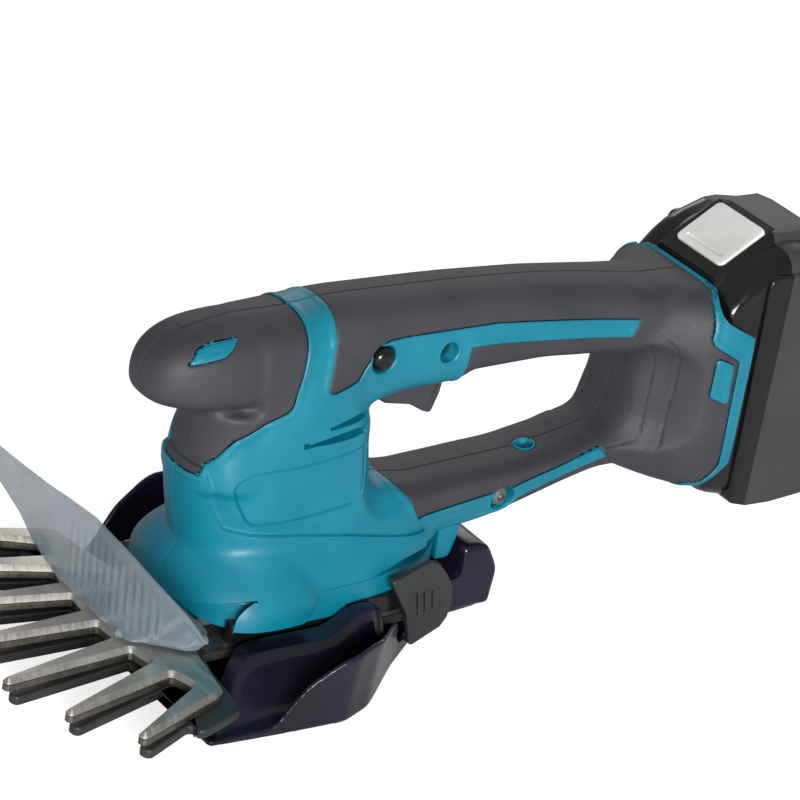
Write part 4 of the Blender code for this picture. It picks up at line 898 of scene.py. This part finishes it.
def guard_plate(drop):
    """The black guard under the blades, with blunt fingers that bend down by a drop."""
    fingers = comb(12.0, 5.0, TIP_REACH - 4.0, 1.5, 2.2)
    last = fingers[-1]
    shoulder = [(-133, last[1] + 10, 1.5), (-126, last[1] + 10.5, 3), (-109, 66, 4), (-107, 60, 2),
                (-104, 30, 3), (-14, 30, 6), (4, 19, 4), (8, 9, 2)]
    outline = with_back([(*fingers[0][:2], 1.5)] + fingers[1:-1] + [(*last[:2], 1.5)], shoulder)
    bm = bmesh.new()
    slab(bm, outline, *GUARD_SPAN, 0.8)
    for vert in bm.verts:
        vert.co.z -= drop * min(max((FINGER_ROOT - vert.co.x) / FINGER_RUN, 0), 1)
    return shape("guard", bm)


# Battery


# Where the battery's two shells meet, and its slope in the side view with the button's middle
BATTERY_SEAM = 138.9
SLOPE = ((105.6, 121.3), (138.0, 141.0))
BUTTON_X = 127.8
# The button, its pocket and its groove as plates on the slope, and their levels over it
BUTTON = (-11.5, 11.5, -14, 14, 2.4)
POCKET = (-11.9, 15.4, -14.4, 14.4, 2.2)
BUTTON_GROOVE = (-8.6, -7.2, -10.6, 10.6, 0.6)
BUTTON_SPAN = (-2.7, 0.65)
POCKET_FLOOR = -3.0
GROOVE_FLOOR = 0.05
CUTTER_TOP = 12.0

# Stations of the battery: x, bottom, shoulder height, half width, corner radius
BATTERY = (
    (113.4, 46, 120.5, 29.6, 6), (114.2, 44.5, 121.8, 30.4, 7), (119.8, 39, 128.2, 30.6, 8),
    (124, 37.2, 131.4, 30.6, 8), (129.2, 35.8, 134.2, 30.6, 8), (135.2, 34.2, 136.2, 30.6, 8),
    (140.7, 33.4, 138, 30.6, 8), (146, 32.8, 138.2, 30.6, 8), (154, 32.2, 136.8, 30.6, 8),
    (163, 31.8, 135.6, 30.4, 8), (168, 32.2, 134.6, 29.8, 7), (169.4, 33, 133.8, 29, 6),
    (170, 34.4, 132.6, 28, 5),
)
# The raised plate on each of its sides, in the side view, and its distance from the middle
SIDE_PLATE = ((128.2, 131, 4), (130.2, 35.2, 4), (140, 32.3, 3), (152, 31.9, 3), (169.6, 33.4, 3),
              (169.6, 129.5, 4))
SIDE_PLATE_SPAN = (22.0, 32.2)
# Height of the battery's raised middle along it, the step's edge and the step's width
CROWN = ((113.4, 125.9), (138, 140.6), (139.5, 141.0), (158, 140.8), (166, 137.4), (170, 133))
CROWN_HALF = 18.4
CROWN_STEP = 2.0


def battery_rings():
    """Upright rounded rings along the battery, with the raised middle worked into their tops."""
    table = np.array(BATTERY)
    crown_x, crown_z = zip(*CROWN)
    half_places = [18.6, 18.2, 17.4, 16.6, 16.2, 8]
    across = half_places + [0] + [-y for y in reversed(half_places)]
    rings = []
    for x in sorted({*table[:, 0], 117, 119.5, 124.5, 139.5, 146, 158, 166}):
        bottom, top, half, corner = (float(np.interp(x, table[:, 0], table[:, k]))
                                     for k in range(1, 5))
        rise = max(float(np.interp(x, crown_x, crown_z)) - top, 0.0)
        outline = plate(-half, half, bottom, top, corner, 6)
        ring = []
        for i, (y, z) in enumerate(outline):
            ring.append((x, y, z))
            after = outline[(i + 1) % len(outline)]
            if min(z, after[1]) > top - HAIR:
                for place in across:
                    share = min(max((CROWN_HALF - abs(place)) / CROWN_STEP, 0.0), 1.0)
                    ring.append((x, place, top + rise * share * share * (3 - 2 * share)))
        rings.append(ring)
    return rings


def on_slope():
    """The turn from the flat at the origin onto the battery's slope under its button."""
    (foot_x, foot_z), (top_x, top_z) = SLOPE
    rise = math.atan2(top_z - foot_z, top_x - foot_x)
    middle = Vector((BUTTON_X, 0, foot_z + (BUTTON_X - foot_x) * math.tan(rise)))
    return Matrix.Translation(middle) @ Matrix.Rotation(-rise, 4, "Y")


def battery_pieces(seam):
    """Front shell, rear shell and the white release button on the slope."""
    bm = bmesh.new()
    skin(bm, battery_rings())
    whole = shape("battery", bm)
    for side in (-1, 1):
        bm = bmesh.new()
        slab(bm, rounded(SIDE_PLATE, 6), *on_side(side, *SIDE_PLATE_SPAN), 1.0, "XZ")
        carve(whole, shape("side_plate", bm), "UNION")
    bm = bmesh.new()
    slab(bm, plate(*POCKET), POCKET_FLOOR, CUTTER_TOP, 0.05)
    bmesh.ops.transform(bm, matrix=on_slope(), verts=bm.verts)
    carve(whole, shape("pocket", bm))
    pieces = []
    for name, place, side in (("front_shell", BATTERY_SEAM - seam / 2, 1),
                              ("rear_shell", BATTERY_SEAM + seam / 2, -1)):
        bm = bmesh.new()
        bm.from_mesh(whole.data)
        cut = bmesh.ops.bisect_plane(bm, geom=bm.verts[:] + bm.edges[:] + bm.faces[:],
                                     plane_co=(place, 0, 0), plane_no=(side, 0, 0),
                                     clear_outer=True, dist=1e-4)
        rim = [item for item in cut["geom_cut"] if isinstance(item, bmesh.types.BMEdge)]
        bmesh.ops.holes_fill(bm, edges=rim, sides=0)
        bmesh.ops.recalc_face_normals(bm, faces=bm.faces)
        pieces.append(shape("pack_" + name, bm))
    bpy.data.objects.remove(whole)
    bm = bmesh.new()
    slab(bm, plate(*BUTTON), *BUTTON_SPAN, 0.7)
    button = shape("release", bm)
    bm = bmesh.new()
    slab(bm, plate(*BUTTON_GROOVE), GROOVE_FLOOR, CUTTER_TOP, 0.05)
    carve(button, shape("groove", bm))
    button.data.transform(on_slope())
    return pieces + [button]


# Skirt, clips and scoop


# Stations of a wing along X: inner edge of the deck, its height, its shoulder, the valley's foot,
# the wall's place and the rim's height
WING = (
    (-118, 60, 2.2, 61, 62, 64.2, 2.2), (-113, 57, 3, 60, 61, 64.6, 2.2),
    (-108, 46, 5, 54, 59, 65, 2.2), (-103.5, 43, 8, 51, 58, 65.3, 2.4),
    (-99, 39, 14, 48, 57, 65.6, 2.6), (-93, 35, 18.6, 45, 57, 65.9, 3.2),
    (-88, 33.5, 19.4, 44.5, 56, 66, 11), (-82, 33.5, 19.4, 44.5, 56, 66.3, 19),
    (-70, 33.5, 19.4, 44.5, 57, 66.8, 27), (-64, 33.5, 19.4, 44.5, 57, 67, 29),
    (-57, 33.5, 19.4, 44, 55, 64, 30), (-51, 33.5, 22, 43.5, 52.5, 61.5, 29.4),
    (-46, 33.5, 25.6, 43.5, 49.5, 57.5, 28.4), (-38, 33.5, 26, 41, 44.5, 50.5, 26.8),
    (-31, 33, 22, 36.5, 39.5, 44.3, 22.5),
    (-24, 31, 6, 32, 34, 38.5, 8), (-12, 23, 4.5, 24, 26, 30, 6), (0, 16, 4, 17, 19, 22.4, 6),
    (12, 11, 4, 12, 14, 17, 6),
)
# The wall's thickness, and how far its rim leans out where it is this high
WING_WALL = 1.9
WING_LEAN = 3.5
LEAN_HEIGHT = 30
# The left edge of the sole in plan, from front to rear
SOLE = ((-119, 64, 2), (-91, 66, 12), (-64, 67, 12), (-48, 59, 14), (-27, 41, 10), (-12, 30, 8),
        (0, 22, 6), (12, 17, 5), (30, 15, 6), (35.5, 9, 4))
SOLE_TOP = 2.0
# The skirt's tail in the side view and its half width
TAIL = ((9, 1, 0.5), (9, 15, 2), (18, 15.6, 2), (18, 28, 2.5), (30, 27, 6), (36, 16, 9),
        (34.5, 1, 2))
TAIL_HALF = 17.0
# Rails inside the skirt, which slide on the gear case: front, rear, inner and outer place
SKIRT_RAIL = (-84, -34, 33.6, 35.4)
SKIRT_RAIL_SPAN = (1, 19.4)
SKIRT_VOXEL = 0.62
# A height clip's pad in the side view, how far out it lies and the slot that it slides in
CLIP = ((-29.7, 33, 1.5), (-24.6, 33.7, 6), (-16.8, 36.8, 6), (-12.6, 38.1, 3), (-8.8, 36.9, 4),
        (-4.2, 31.5, 8), (-0.7, 25.4, 6), (0.1, 18.9, 6), (-1, 13.2, 4), (-3.5, 9.5, 2),
        (-16.2, 3.5, 1.5), (-20.3, 18.3, 8))
CLIP_OUTER = 36.5
CLIP_WALL = 3.0
CLIP_PLAY = 0.35
CLIP_SLOT = (31.0, 36.8)
# Its finger grooves, from their upper to their lower ends
CLIP_LINE_HALF = 0.45
CLIP_LINE_DEPTH = 0.8
CLIP_LINES = ([(-17.2, 26.4), (-15.3, 16.9)], [(-14.0, 26.3), (-12.3, 17.6)],
              [(-10.5, 26.4), (-9.0, 18.6)])


def wing_rings():
    """Upright rings across the left wing: deck, concave valley and the flared wall."""
    rings = []
    for x, inner, deck, shoulder, foot, wall, rim in refined(WING, 1.5, 2):
        lean = WING_LEAN * (rim / LEAN_HEIGHT) ** 2
        points = [(inner, 0.15), (inner, deck - 0.8), (inner + 0.8, deck), (shoulder - 1.5, deck)]
        for part in (0.1, 0.25, 0.4, 0.55, 0.7, 0.85, 1.0):
            level = SOLE_TOP + (deck - SOLE_TOP) * (1 - part) ** 1.6
            points.append((shoulder + (foot - shoulder) * part, level))
        face = wall - WING_WALL
        for part in (0.3, 0.6, 0.8, 0.93):
            points.append((foot + (face - foot) * part + lean * part ** 5,
                           SOLE_TOP + (rim - SOLE_TOP) * part ** 3.2 * 0.8))
        points += [(face + lean * 0.96 - 0.1, rim - 0.7), (face + lean + 0.4, rim),
                   (wall + lean - 0.5, rim), (wall + lean, rim - 0.7),
                   (wall + lean * 0.42, rim * 0.65), (wall + lean * 0.08, rim * 0.3 + 0.3),
                   (wall, 0.4), (wall - 0.4, 0.0)]
        rings.append([(x, -y, z) for y, z in points])
    return rings


def skirt_piece():
    """The height skirt: sole, two wings and tail, moulded in one, with the clips' slots."""
    bm = bmesh.new()
    skin(bm, wing_rings())
    skin(bm, [[(x, -y, z) for x, y, z in ring] for ring in wing_rings()])
    sole = [(x, -y, radius) for x, y, radius in SOLE] + list(reversed(SOLE))
    slab(bm, rounded(sole, 4), 0.0, SOLE_TOP, 0.5)
    slab(bm, rounded(TAIL, 4), -TAIL_HALF, TAIL_HALF, 2.5, "XZ")
    front, rear, inner, outer = SKIRT_RAIL
    for side in (-1, 1):
        rail = plate(front, rear, *on_side(side, inner, outer), 0)
        slab(bm, rail, *SKIRT_RAIL_SPAN, 0.4)
    skirt = shape("skirt_moulding", bm)
    modify(skirt, "REMESH", mode="VOXEL", voxel_size=SKIRT_VOXEL, adaptivity=0.0)
    modify(skirt, "SMOOTH", factor=0.5, iterations=3)
    apply_modifiers(skirt)
    for side in (-1, 1):
        bm = bmesh.new()
        slab(bm, grown(rounded(CLIP, 4), CLIP_PLAY), *on_side(side, *CLIP_SLOT), 0.05, "XZ")
        carve(skirt, shape("slot", bm))
    return skirt


def clip_piece():
    """The left height clip, with three grooves in its pad."""
    bm = bmesh.new()
    slab(bm, rounded(CLIP, 5), -CLIP_OUTER, CLIP_WALL - CLIP_OUTER, 0.7, "XZ")
    clip = shape("left_clip", bm)
    for (top_x, top_z), (low_x, low_z) in CLIP_LINES:
        bm = bmesh.new()
        groove = [(low_x - CLIP_LINE_HALF, low_z), (low_x + CLIP_LINE_HALF, low_z),
                  (top_x + CLIP_LINE_HALF, top_z), (top_x - CLIP_LINE_HALF, top_z)]
        slab(bm, groove, -CLIP_OUTER - CLIP_WALL, CLIP_LINE_DEPTH - CLIP_OUTER, 0.02, "XZ")
        carve(clip, shape("groove", bm))
    return clip


# Scoop stations across the tool: bottom edge, top edge, thickness
SCOOP = (
    (-61.8, 41.3, 43.3, 1.2), (-58, 38, 45.6, 1.7), (-52, 34, 47.8, 1.9), (-43, 30, 49.8, 2),
    (-30, 24.4, 52.2, 2), (-22, 20.6, 53.8, 2), (-17, 20.0, 54.4, 2), (5, 20.0, 56, 2),
    (26, 20.4, 53.6, 2), (36, 22.4, 52.0, 2), (46, 25.4, 51, 2), (55, 30, 50, 2), (71, 34, 48.5, 2),
    (78, 34.4, 47.9, 2), (79, 34.4, 48.4, 3), (81.8, 34.6, 48.2, 3),
)
SCOOP_FRONT = -130.0
SCOOP_LEAN = 1.5
# How far its left and right ends sweep back, and at what distance from the middle
SCOOP_SWEEPS = ((5.4, 62), (1.5, 80))
# Flow ribs on its front: their height, their turn per millimetre and the ends of their run
RIB_HEIGHT = 0.22
RIB_TURN = 1.35
RIB_RUN = (-40, 20)
# Its foot and the catch on it, in plan with their levels, and the bead along the foot's side
SCOOP_FOOT = ((-130.4, -17, 1), (-111, -35, 4), (-99.4, -28, 6), (-99.4, 12, 4), (-129.9, 29, 1))
SCOOP_FOOT_SPAN = (19.95, 21.7)
SCOOP_CATCH = ((-112.5, -32, 1), (-108.5, -33.5, 1), (-106.5, -29, 1), (-110.5, -27.5, 1))
SCOOP_CATCH_SPAN = (21.0, 26.0)
SCOOP_BEAD = ((-131.2, -17.0, 21.9), (-126, -21.8, 21.9), (-118, -29.0, 21.9), (-112.5, -34, 22),
              (-109.5, -34.6, 21.9), (-104, -31.6, 21.6))
BEAD_RADIUS = 1.75


def scoop_rings():
    """Upright rings across the tool round the scoop's leaning, ribbed wall."""
    parts = [k / 9 for k in range(10)]
    rim = [math.radians(turn) for turn in (30, 60, 90, 120, 150)]
    rings = []
    for y, low, high, thick in refined(SCOOP, 0.75, 4):
        sweep, reach = SCOOP_SWEEPS[int(y >= 0)]
        x = SCOOP_FRONT + sweep * (y / reach) ** 2
        half = thick / 2
        foot = low + half
        run = high - low - thick
        wave = RIB_HEIGHT * math.cos(y * RIB_TURN) if RIB_RUN[0] < y < RIB_RUN[1] else 0.0
        ring = [(x - SCOOP_LEAN * part - half + wave * math.sin(math.pi * part), y,
                 foot + run * part) for part in parts]
        ring += [(x - SCOOP_LEAN - half * math.cos(angle), y,
                  high - half + half * math.sin(angle)) for angle in rim]
        ring += [(x - SCOOP_LEAN * part + half, y, foot + run * part)
                 for part in reversed(parts)]
        ring += [(x + half * math.cos(angle), y, foot - half * math.sin(angle)) for angle in rim]
        rings.append(ring)
    return rings


def bead_rings(path, radius):
    """Round rings square to a path."""
    places = [Vector(point) for point in path]
    rings = []
    for before, here, after in zip(places[:1] + places, places, places[1:] + places[-1:]):
        along = (after - before).normalized()
        across = along.cross(Vector((0, 0, 1))).normalized()
        up = across.cross(along)
        rings.append([here + radius * (across * x + up * z) for x, z in circle(0, 0, 1, 16)])
    return rings


def scoop_piece():
    """The clear scoop: its wall, its foot over the blades, and the foot's bead and catch."""
    bm = bmesh.new()
    skin(bm, scoop_rings())
    scoop = shape("scoop_wall", bm)
    bm = bmesh.new()
    slab(bm, rounded(SCOOP_FOOT, 5), *SCOOP_FOOT_SPAN, 0.5)
    carve(scoop, shape("foot", bm), "UNION")
    bm = bmesh.new()
    skin(bm, bead_rings(SCOOP_BEAD, BEAD_RADIUS))
    carve(scoop, shape("bead", bm), "UNION")
    bm = bmesh.new()
    slab(bm, rounded(SCOOP_CATCH, 4), *SCOOP_CATCH_SPAN, 0.6)
    carve(scoop, shape("catch", bm), "UNION")
    return scoop


# Controls and the gear case


TRIGGER = ((-29, 100.5, 2), (-29, 93.5, 1.5), (-22.4, 89.1, 3), (-11, 86.9, 8), (-5, 83.4, 3),
           (-1.2, 81.8, 1.5), (1.6, 90.3, 2), (2, 94, 1.5), (2, 99, 1))
TRIGGER_HALF = 7.0
# The lock-off button's bar: place across the handle and radius there
LOCK_BAR = ((-21, 0.6), (-20.8, 2.2), (-20.2, 3.5), (-19.3, 4.3), (-18, 4.6), (5.6, 4.6),
            (6.8, 4.2), (7.6, 3.2), (8, 1.6))
# The gear case in plan: front, rear, belly, half width, power
CASE_PLAN = (-99, 8, -70, 32, 2.6)
# The moulding's foot behind the skirt, in the side view, and its half width
FOOT = ((8.4, 22, 1), (15, 22, 3), (17.5, 31, 3), (18, 42, 1), (8.4, 42, 1))
FOOT_HALF = 12.0
# Rails under the flange: front, rear, inner and outer place
FLANGE_RAIL = (-93, -16, 26, 31.3)
FLANGE_RAIL_SPAN = (17.0, 24.4)
# The battery bay's front wall, drawn as z and y, and its guide ribs' ends, place and half width
BAY_WALL = ((50, -30, 6), (117, -30, 8), (117, 30, 8), (50, 30, 6))
BAY_WALL_SPAN = (103.0, 104.8)
BAY_RIB = (52, 112, 24, 1.5)
BAY_RIB_SPAN = (104.0, 111.5)


def bay_piece():
    """The front wall of the battery bay, with its two guide ribs."""
    bm = bmesh.new()
    slab(bm, rounded(BAY_WALL, 5), *BAY_WALL_SPAN, 0.3, "ZY")
    bottom, top, place, half = BAY_RIB
    for side in (-1, 1):
        rib = plate(bottom, top, side * place - half, side * place + half, 0.6, 4)
        slab(bm, rib, *BAY_RIB_SPAN, 0.4, "ZY")
    return shape("bay", bm)


def trigger_piece():
    """The trigger, rounded across the finger."""
    bm = bmesh.new()
    slab(bm, rounded(TRIGGER, 6), -TRIGGER_HALF, TRIGGER_HALF, 1.4, "XZ")
    return shape("finger_lever", bm)


def lock_off_piece():
    """The lock-off button: a bar across the handle with domed ends."""
    x, z, _ = LOCK_OFF
    bm = bmesh.new()
    skin(bm, [[(a, y, b) for a, b in circle(x, z, radius, 32)] for y, radius in LOCK_BAR])
    return shape("lock_bar", bm)


def gear_case_piece():
    """The gear case, with its round front."""
    bm = bmesh.new()
    slab(bm, plan_of(*CASE_PLAN, 96), *CASE_SPAN, 1.2)
    return shape("case", bm)


def foot_piece():
    """The foot of the housing behind the height skirt."""
    bm = bmesh.new()
    slab(bm, rounded(FOOT, 4), -FOOT_HALF, FOOT_HALF, 0.8, "XZ")
    return shape("rear_foot", bm)


def rails_piece():
    """The two rails under the flange, which the skirt slides inside."""
    front, rear, inner, outer = FLANGE_RAIL
    bm = bmesh.new()
    for side in (-1, 1):
        rail = plate(front, rear, *on_side(side, inner, outer), 2, 4)
        slab(bm, rail, *FLANGE_RAIL_SPAN, 0.5)
    return shape("side_rails", bm)


# Operators


class TRIMMER_OT_skirt(bpy.types.Operator):
    """Model the height skirt and its two clips"""
    bl_idname = "trimmer.skirt"
    bl_label = "Height Skirt"

    def execute(self, context):
        settle(skirt_piece(), "skirt", ["smoked_pc"], ["height_skirt"])
        left = clip_piece()
        right = mirror_twin(left, "right_clip")
        settle(left, "left_clip", ["nylon"], ["left_height_clip"])
        settle(right, "right_clip", ["nylon"], ["right_height_clip"])
        return {"FINISHED"}


class TRIMMER_OT_scoop(bpy.types.Operator):
    """Model the clear scoop"""
    bl_idname = "trimmer.scoop"
    bl_label = "Scoop"

    def execute(self, context):
        settle(scoop_piece(), "scoop", ["clear_pc"], ["grass_scoop"], 40)
        return {"FINISHED"}


class TRIMMER_OT_controls(bpy.types.Operator):
    """Model the trigger, the lock-off button, the gear case, the rear foot, bay and rails"""
    bl_idname = "trimmer.controls"
    bl_label = "Controls and Gear Case"

    def execute(self, context):
        settle(trigger_piece(), "trigger", ["soft_tpe"], ["trigger"])
        settle(lock_off_piece(), "lock_off", ["gloss_abs"], ["lock_off_button"])
        settle(gear_case_piece(), "housing", ["teal_abs"], ["gear_case"])
        settle(foot_piece(), "housing", ["teal_abs"])
        settle(bay_piece(), "housing", ["nylon"])
        settle(rails_piece(), "housing", ["gloss_abs"])
        return {"FINISHED"}


class TRIMMER_OT_blades(bpy.types.Operator):
    """Model both comb blades and the blunt guard under them"""
    bl_idname = "trimmer.blades"
    bl_label = "Blades and Guard"

    def execute(self, context):
        look = context.scene.trimmer_look
        upper = blade_plate("upper_comb", UPPER_TANG, UPPER_SPAN, look.ground / METRES,
                            UPPER_BEVEL)
        settle(upper, "shear", ["blade_steel", "ground_steel"], ["upper_blade"], 20)
        lower = blade_plate("lower_comb", LOWER_TANG, LOWER_SPAN, LOWER_GROUND, LOWER_BEVEL)
        # The lower blade takes the darker copy of the steel: painted shade under the upper blade
        settle(lower, "housing", ["shaded_steel", "shaded_steel"], ["lower_blade"], 20)
        settle(guard_plate(look.droop / METRES), "housing", ["nylon"],
               ["blade_guard"])
        return {"FINISHED"}


class TRIMMER_OT_battery(bpy.types.Operator):
    """Model the battery's two shells and its release button"""
    bl_idname = "trimmer.battery"
    bl_label = "Battery"

    def execute(self, context):
        front, rear, button = battery_pieces(context.scene.trimmer_look.seam / METRES)
        settle(front, "battery", ["gloss_abs"], ["battery_front_shell"], 30)
        settle(rear, "battery", ["battery_abs"], ["battery_rear_shell"], 30)
        settle(button, "battery_release", ["white_abs"], ["battery_button"])
        return {"FINISHED"}


class TRIMMER_OT_housing(bpy.types.Operator):
    """Model the teal shells and their soft grips"""
    bl_idname = "trimmer.housing"
    bl_label = "Housing and Grips"

    def execute(self, context):
        form = outer_form()
        pieces = shells_from(form, context.scene.trimmer_look.seam / METRES)
        bpy.data.objects.remove(form)
        for side in ("left", "right"):
            settle(pieces[side + "_shell"], "housing", ["teal_abs"],
                   [side + "_housing"] + (["knob_inlay"] if side == "left" else []))
            settle(pieces[side + "_knob_skin"], "housing", ["soft_tpe"],
                   [side + "_front_grip"])
            settle(pieces[side + "_handle_skin"], "housing", ["soft_tpe"],
                   [side + "_rear_grip"])
        return {"FINISHED"}


# The frame's own nodes that show, by their finish
NODE_FINISHES = {
    "nylon": ("under_cover", "switch_module", "terminal_block"),
    "zinc": ("motor_can", "motor_shaft", "motor_pinion", "crank_gear", "crank_bearing",
             "blade_pivot_pin", "trigger_pin", "handle_screw", "bar_screw", "cover_screw_1",
             "cover_screw_2", "cover_screw_3", "cover_screw_4"),
}


class TRIMMER_OT_finishes(bpy.types.Operator):
    """Make the finishes and give the frame's own nodes theirs"""
    bl_idname = "trimmer.finishes"
    bl_label = "Finishes"

    def execute(self, context):
        make_finishes(context.scene.trimmer_look)
        for finish, names in NODE_FINISHES.items():
            for name in names:
                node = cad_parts[name]
                for slot in node.material_slots:
                    slot.material = FINISHES[finish]
        return {"FINISHED"}


# Stage


# Lamps: place, aim, width and height, in metres about the frame's origin
KEY_LAMP = ((-1.1, -2.0, 0.7), (-0.02, 0, 0.06), (1.0, 0.7))
RIM_LAMP = ((1.4, 1.8, 1.1), (0, 0, 0.08), (2.0, 0.8))
# The floor shows its own pale colour under a glow that only the camera sees
FLOOR_COLOUR = "E6E6E6"
FLOOR_GLOW = 0.72
FLOOR_HALF = 6.0


def add_lamp(name, place, aim, size, power):
    """A soft rectangular lamp."""
    lamp = bpy.data.lights.new(name, "AREA")
    lamp.shape = "RECTANGLE"
    lamp.size, lamp.size_y = size
    lamp.energy = power
    holder = bpy.data.objects.new(name, lamp)
    holder.location = place
    holder.rotation_euler = (Vector(aim) - Vector(place)).to_track_quat("-Z", "Y").to_euler()
    bpy.context.scene.collection.objects.link(holder)


# The photograph's camera, fitted to the blades, the sole and the battery: its place from the
# blade pivot, its turns in degrees and its lens and sensor in millimetres
CAMERA_PLACE = (-756.222, -927.657, 665.590)
CAMERA_TURNS = (63.67816, -8.85685, -34.42714)
CAMERA_LENS = 165.1914
CAMERA_SENSOR = 36.0


def add_camera():
    """The camera of the photograph."""
    lens = bpy.data.cameras.new("camera")
    lens.sensor_fit = "HORIZONTAL"
    lens.sensor_width = CAMERA_SENSOR
    lens.lens = CAMERA_LENS
    lens.clip_start = 0.05
    camera = bpy.data.objects.new("camera", lens)
    camera.location = (Vector(CAMERA_PLACE) - Vector((PIVOT_OFFSET, 0, 0))) * METRES
    camera.rotation_euler = [math.radians(turn) for turn in CAMERA_TURNS]
    bpy.context.scene.collection.objects.link(camera)
    bpy.context.scene.camera = camera


def seen_white(tree, seen, unseen):
    """A value for what the camera sees and another for what only lights the tool."""
    rays = add(tree, "ShaderNodeLightPath")
    value = add(tree, "ShaderNodeMapRange", {"Value": rays.outputs["Is Camera Ray"],
                                             "To Min": unseen, "To Max": seen})
    return value.outputs[0]


def add_floor():
    """A wide white floor that keeps a faint shadow of the tool."""
    bm = bmesh.new()
    bmesh.ops.create_grid(bm, x_segments=8, y_segments=8, size=FLOOR_HALF)
    floor = shape("floor", bm)
    floor.location.z = -0.0002
    tree, shader, _ = new_finish("paper_floor")
    shader.inputs["Base Color"].default_value = linear(FLOOR_COLOUR)
    shader.inputs["Roughness"].default_value = 0.9
    shader.inputs["Emission Color"].default_value = (1, 1, 1, 1)
    tree.links.new(seen_white(tree, FLOOR_GLOW, 0.0), shader.inputs["Emission Strength"])
    floor.data.materials.append(FINISHES["paper_floor"])


class TRIMMER_OT_stage(bpy.types.Operator):
    """Set up the floor, the lamps and the camera"""
    bl_idname = "trimmer.stage"
    bl_label = "Stage"

    def execute(self, context):
        look = context.scene.trimmer_look
        scene = context.scene
        scene.view_settings.view_transform = "Standard"
        world = bpy.data.worlds.new("studio")
        world.use_nodes = True
        scene.world = world
        background = world.node_tree.nodes["Background"]
        background.inputs["Color"].default_value = (1, 1, 1, 1)
        world.node_tree.links.new(seen_white(world.node_tree, 1.0, look.fill),
                                  background.inputs["Strength"])
        add_floor()
        add_lamp("key", *KEY_LAMP, look.key)
        add_lamp("rim", *RIM_LAMP, look.rim)
        add_camera()
        return {"FINISHED"}


class TRIMMER_PG_look(bpy.types.PropertyGroup):
    """Sizes, colours and lamp levels that a user would change."""
    seam: FloatProperty(name="Seam", description="Gap between pieces that are moulded together",
                        default=0.18 * METRES, min=0.0, precision=5, unit="LENGTH")
    ground: FloatProperty(name="Ground Edge", description="Width of the upper blade's ground edge",
                          default=1.45 * METRES, min=0.0, precision=5, unit="LENGTH")
    droop: FloatProperty(name="Finger Droop", description="How far the guard's fingers bend down",
                         default=2.6 * METRES, min=0.0, precision=5, unit="LENGTH")
    teal: StringProperty(name="Housing", description="sRGB hex colour of the housing",
                         default="00758C")
    grip: StringProperty(name="Grip", description="sRGB hex colour of the soft grips",
                         default="34363B")
    button: StringProperty(name="Button", description="sRGB hex colour of the battery's button",
                           default="F3F3F1")
    fill: FloatProperty(name="Fill", description="Strength of the white surroundings", default=0.3,
                        min=0.0)
    key: FloatProperty(name="Key Lamp", description="Power of the lamp over the camera",
                       default=62.0, min=0.0, unit="POWER")
    rim: FloatProperty(name="Rim Lamp", description="Power of the lamp behind the tool",
                       default=10.0, min=0.0, unit="POWER")


STEPS = ("finishes", "housing", "blades", "battery", "skirt", "scoop", "controls", "stage")


class TRIMMER_PT_panel(bpy.types.Panel):
    """The steps that dress the trimmer"""
    bl_label = "Comb Trimmer"
    bl_idname = "TRIMMER_PT_panel"
    bl_space_type = "VIEW_3D"
    bl_region_type = "UI"
    bl_category = "Comb Trimmer"

    def draw(self, context):
        look = context.scene.trimmer_look
        for name in ("seam", "ground", "droop", "teal", "grip", "button", "fill", "key", "rim"):
            self.layout.prop(look, name)
        for step in STEPS:
            self.layout.operator("trimmer." + step)


CLASSES = (TRIMMER_PG_look, TRIMMER_OT_finishes, TRIMMER_OT_housing, TRIMMER_OT_blades,
           TRIMMER_OT_battery, TRIMMER_OT_skirt, TRIMMER_OT_scoop, TRIMMER_OT_controls,
           TRIMMER_OT_stage, TRIMMER_PT_panel)


def register():
    for item in CLASSES:
        bpy.utils.register_class(item)
    bpy.types.Scene.trimmer_look = PointerProperty(type=TRIMMER_PG_look)


def unregister():
    del bpy.types.Scene.trimmer_look
    for item in reversed(CLASSES):
        bpy.utils.unregister_class(item)


def main():
    """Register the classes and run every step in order."""
    register()
    for step in STEPS:
        getattr(bpy.ops.trimmer, step)()


if __name__ == "__main__":
    main()
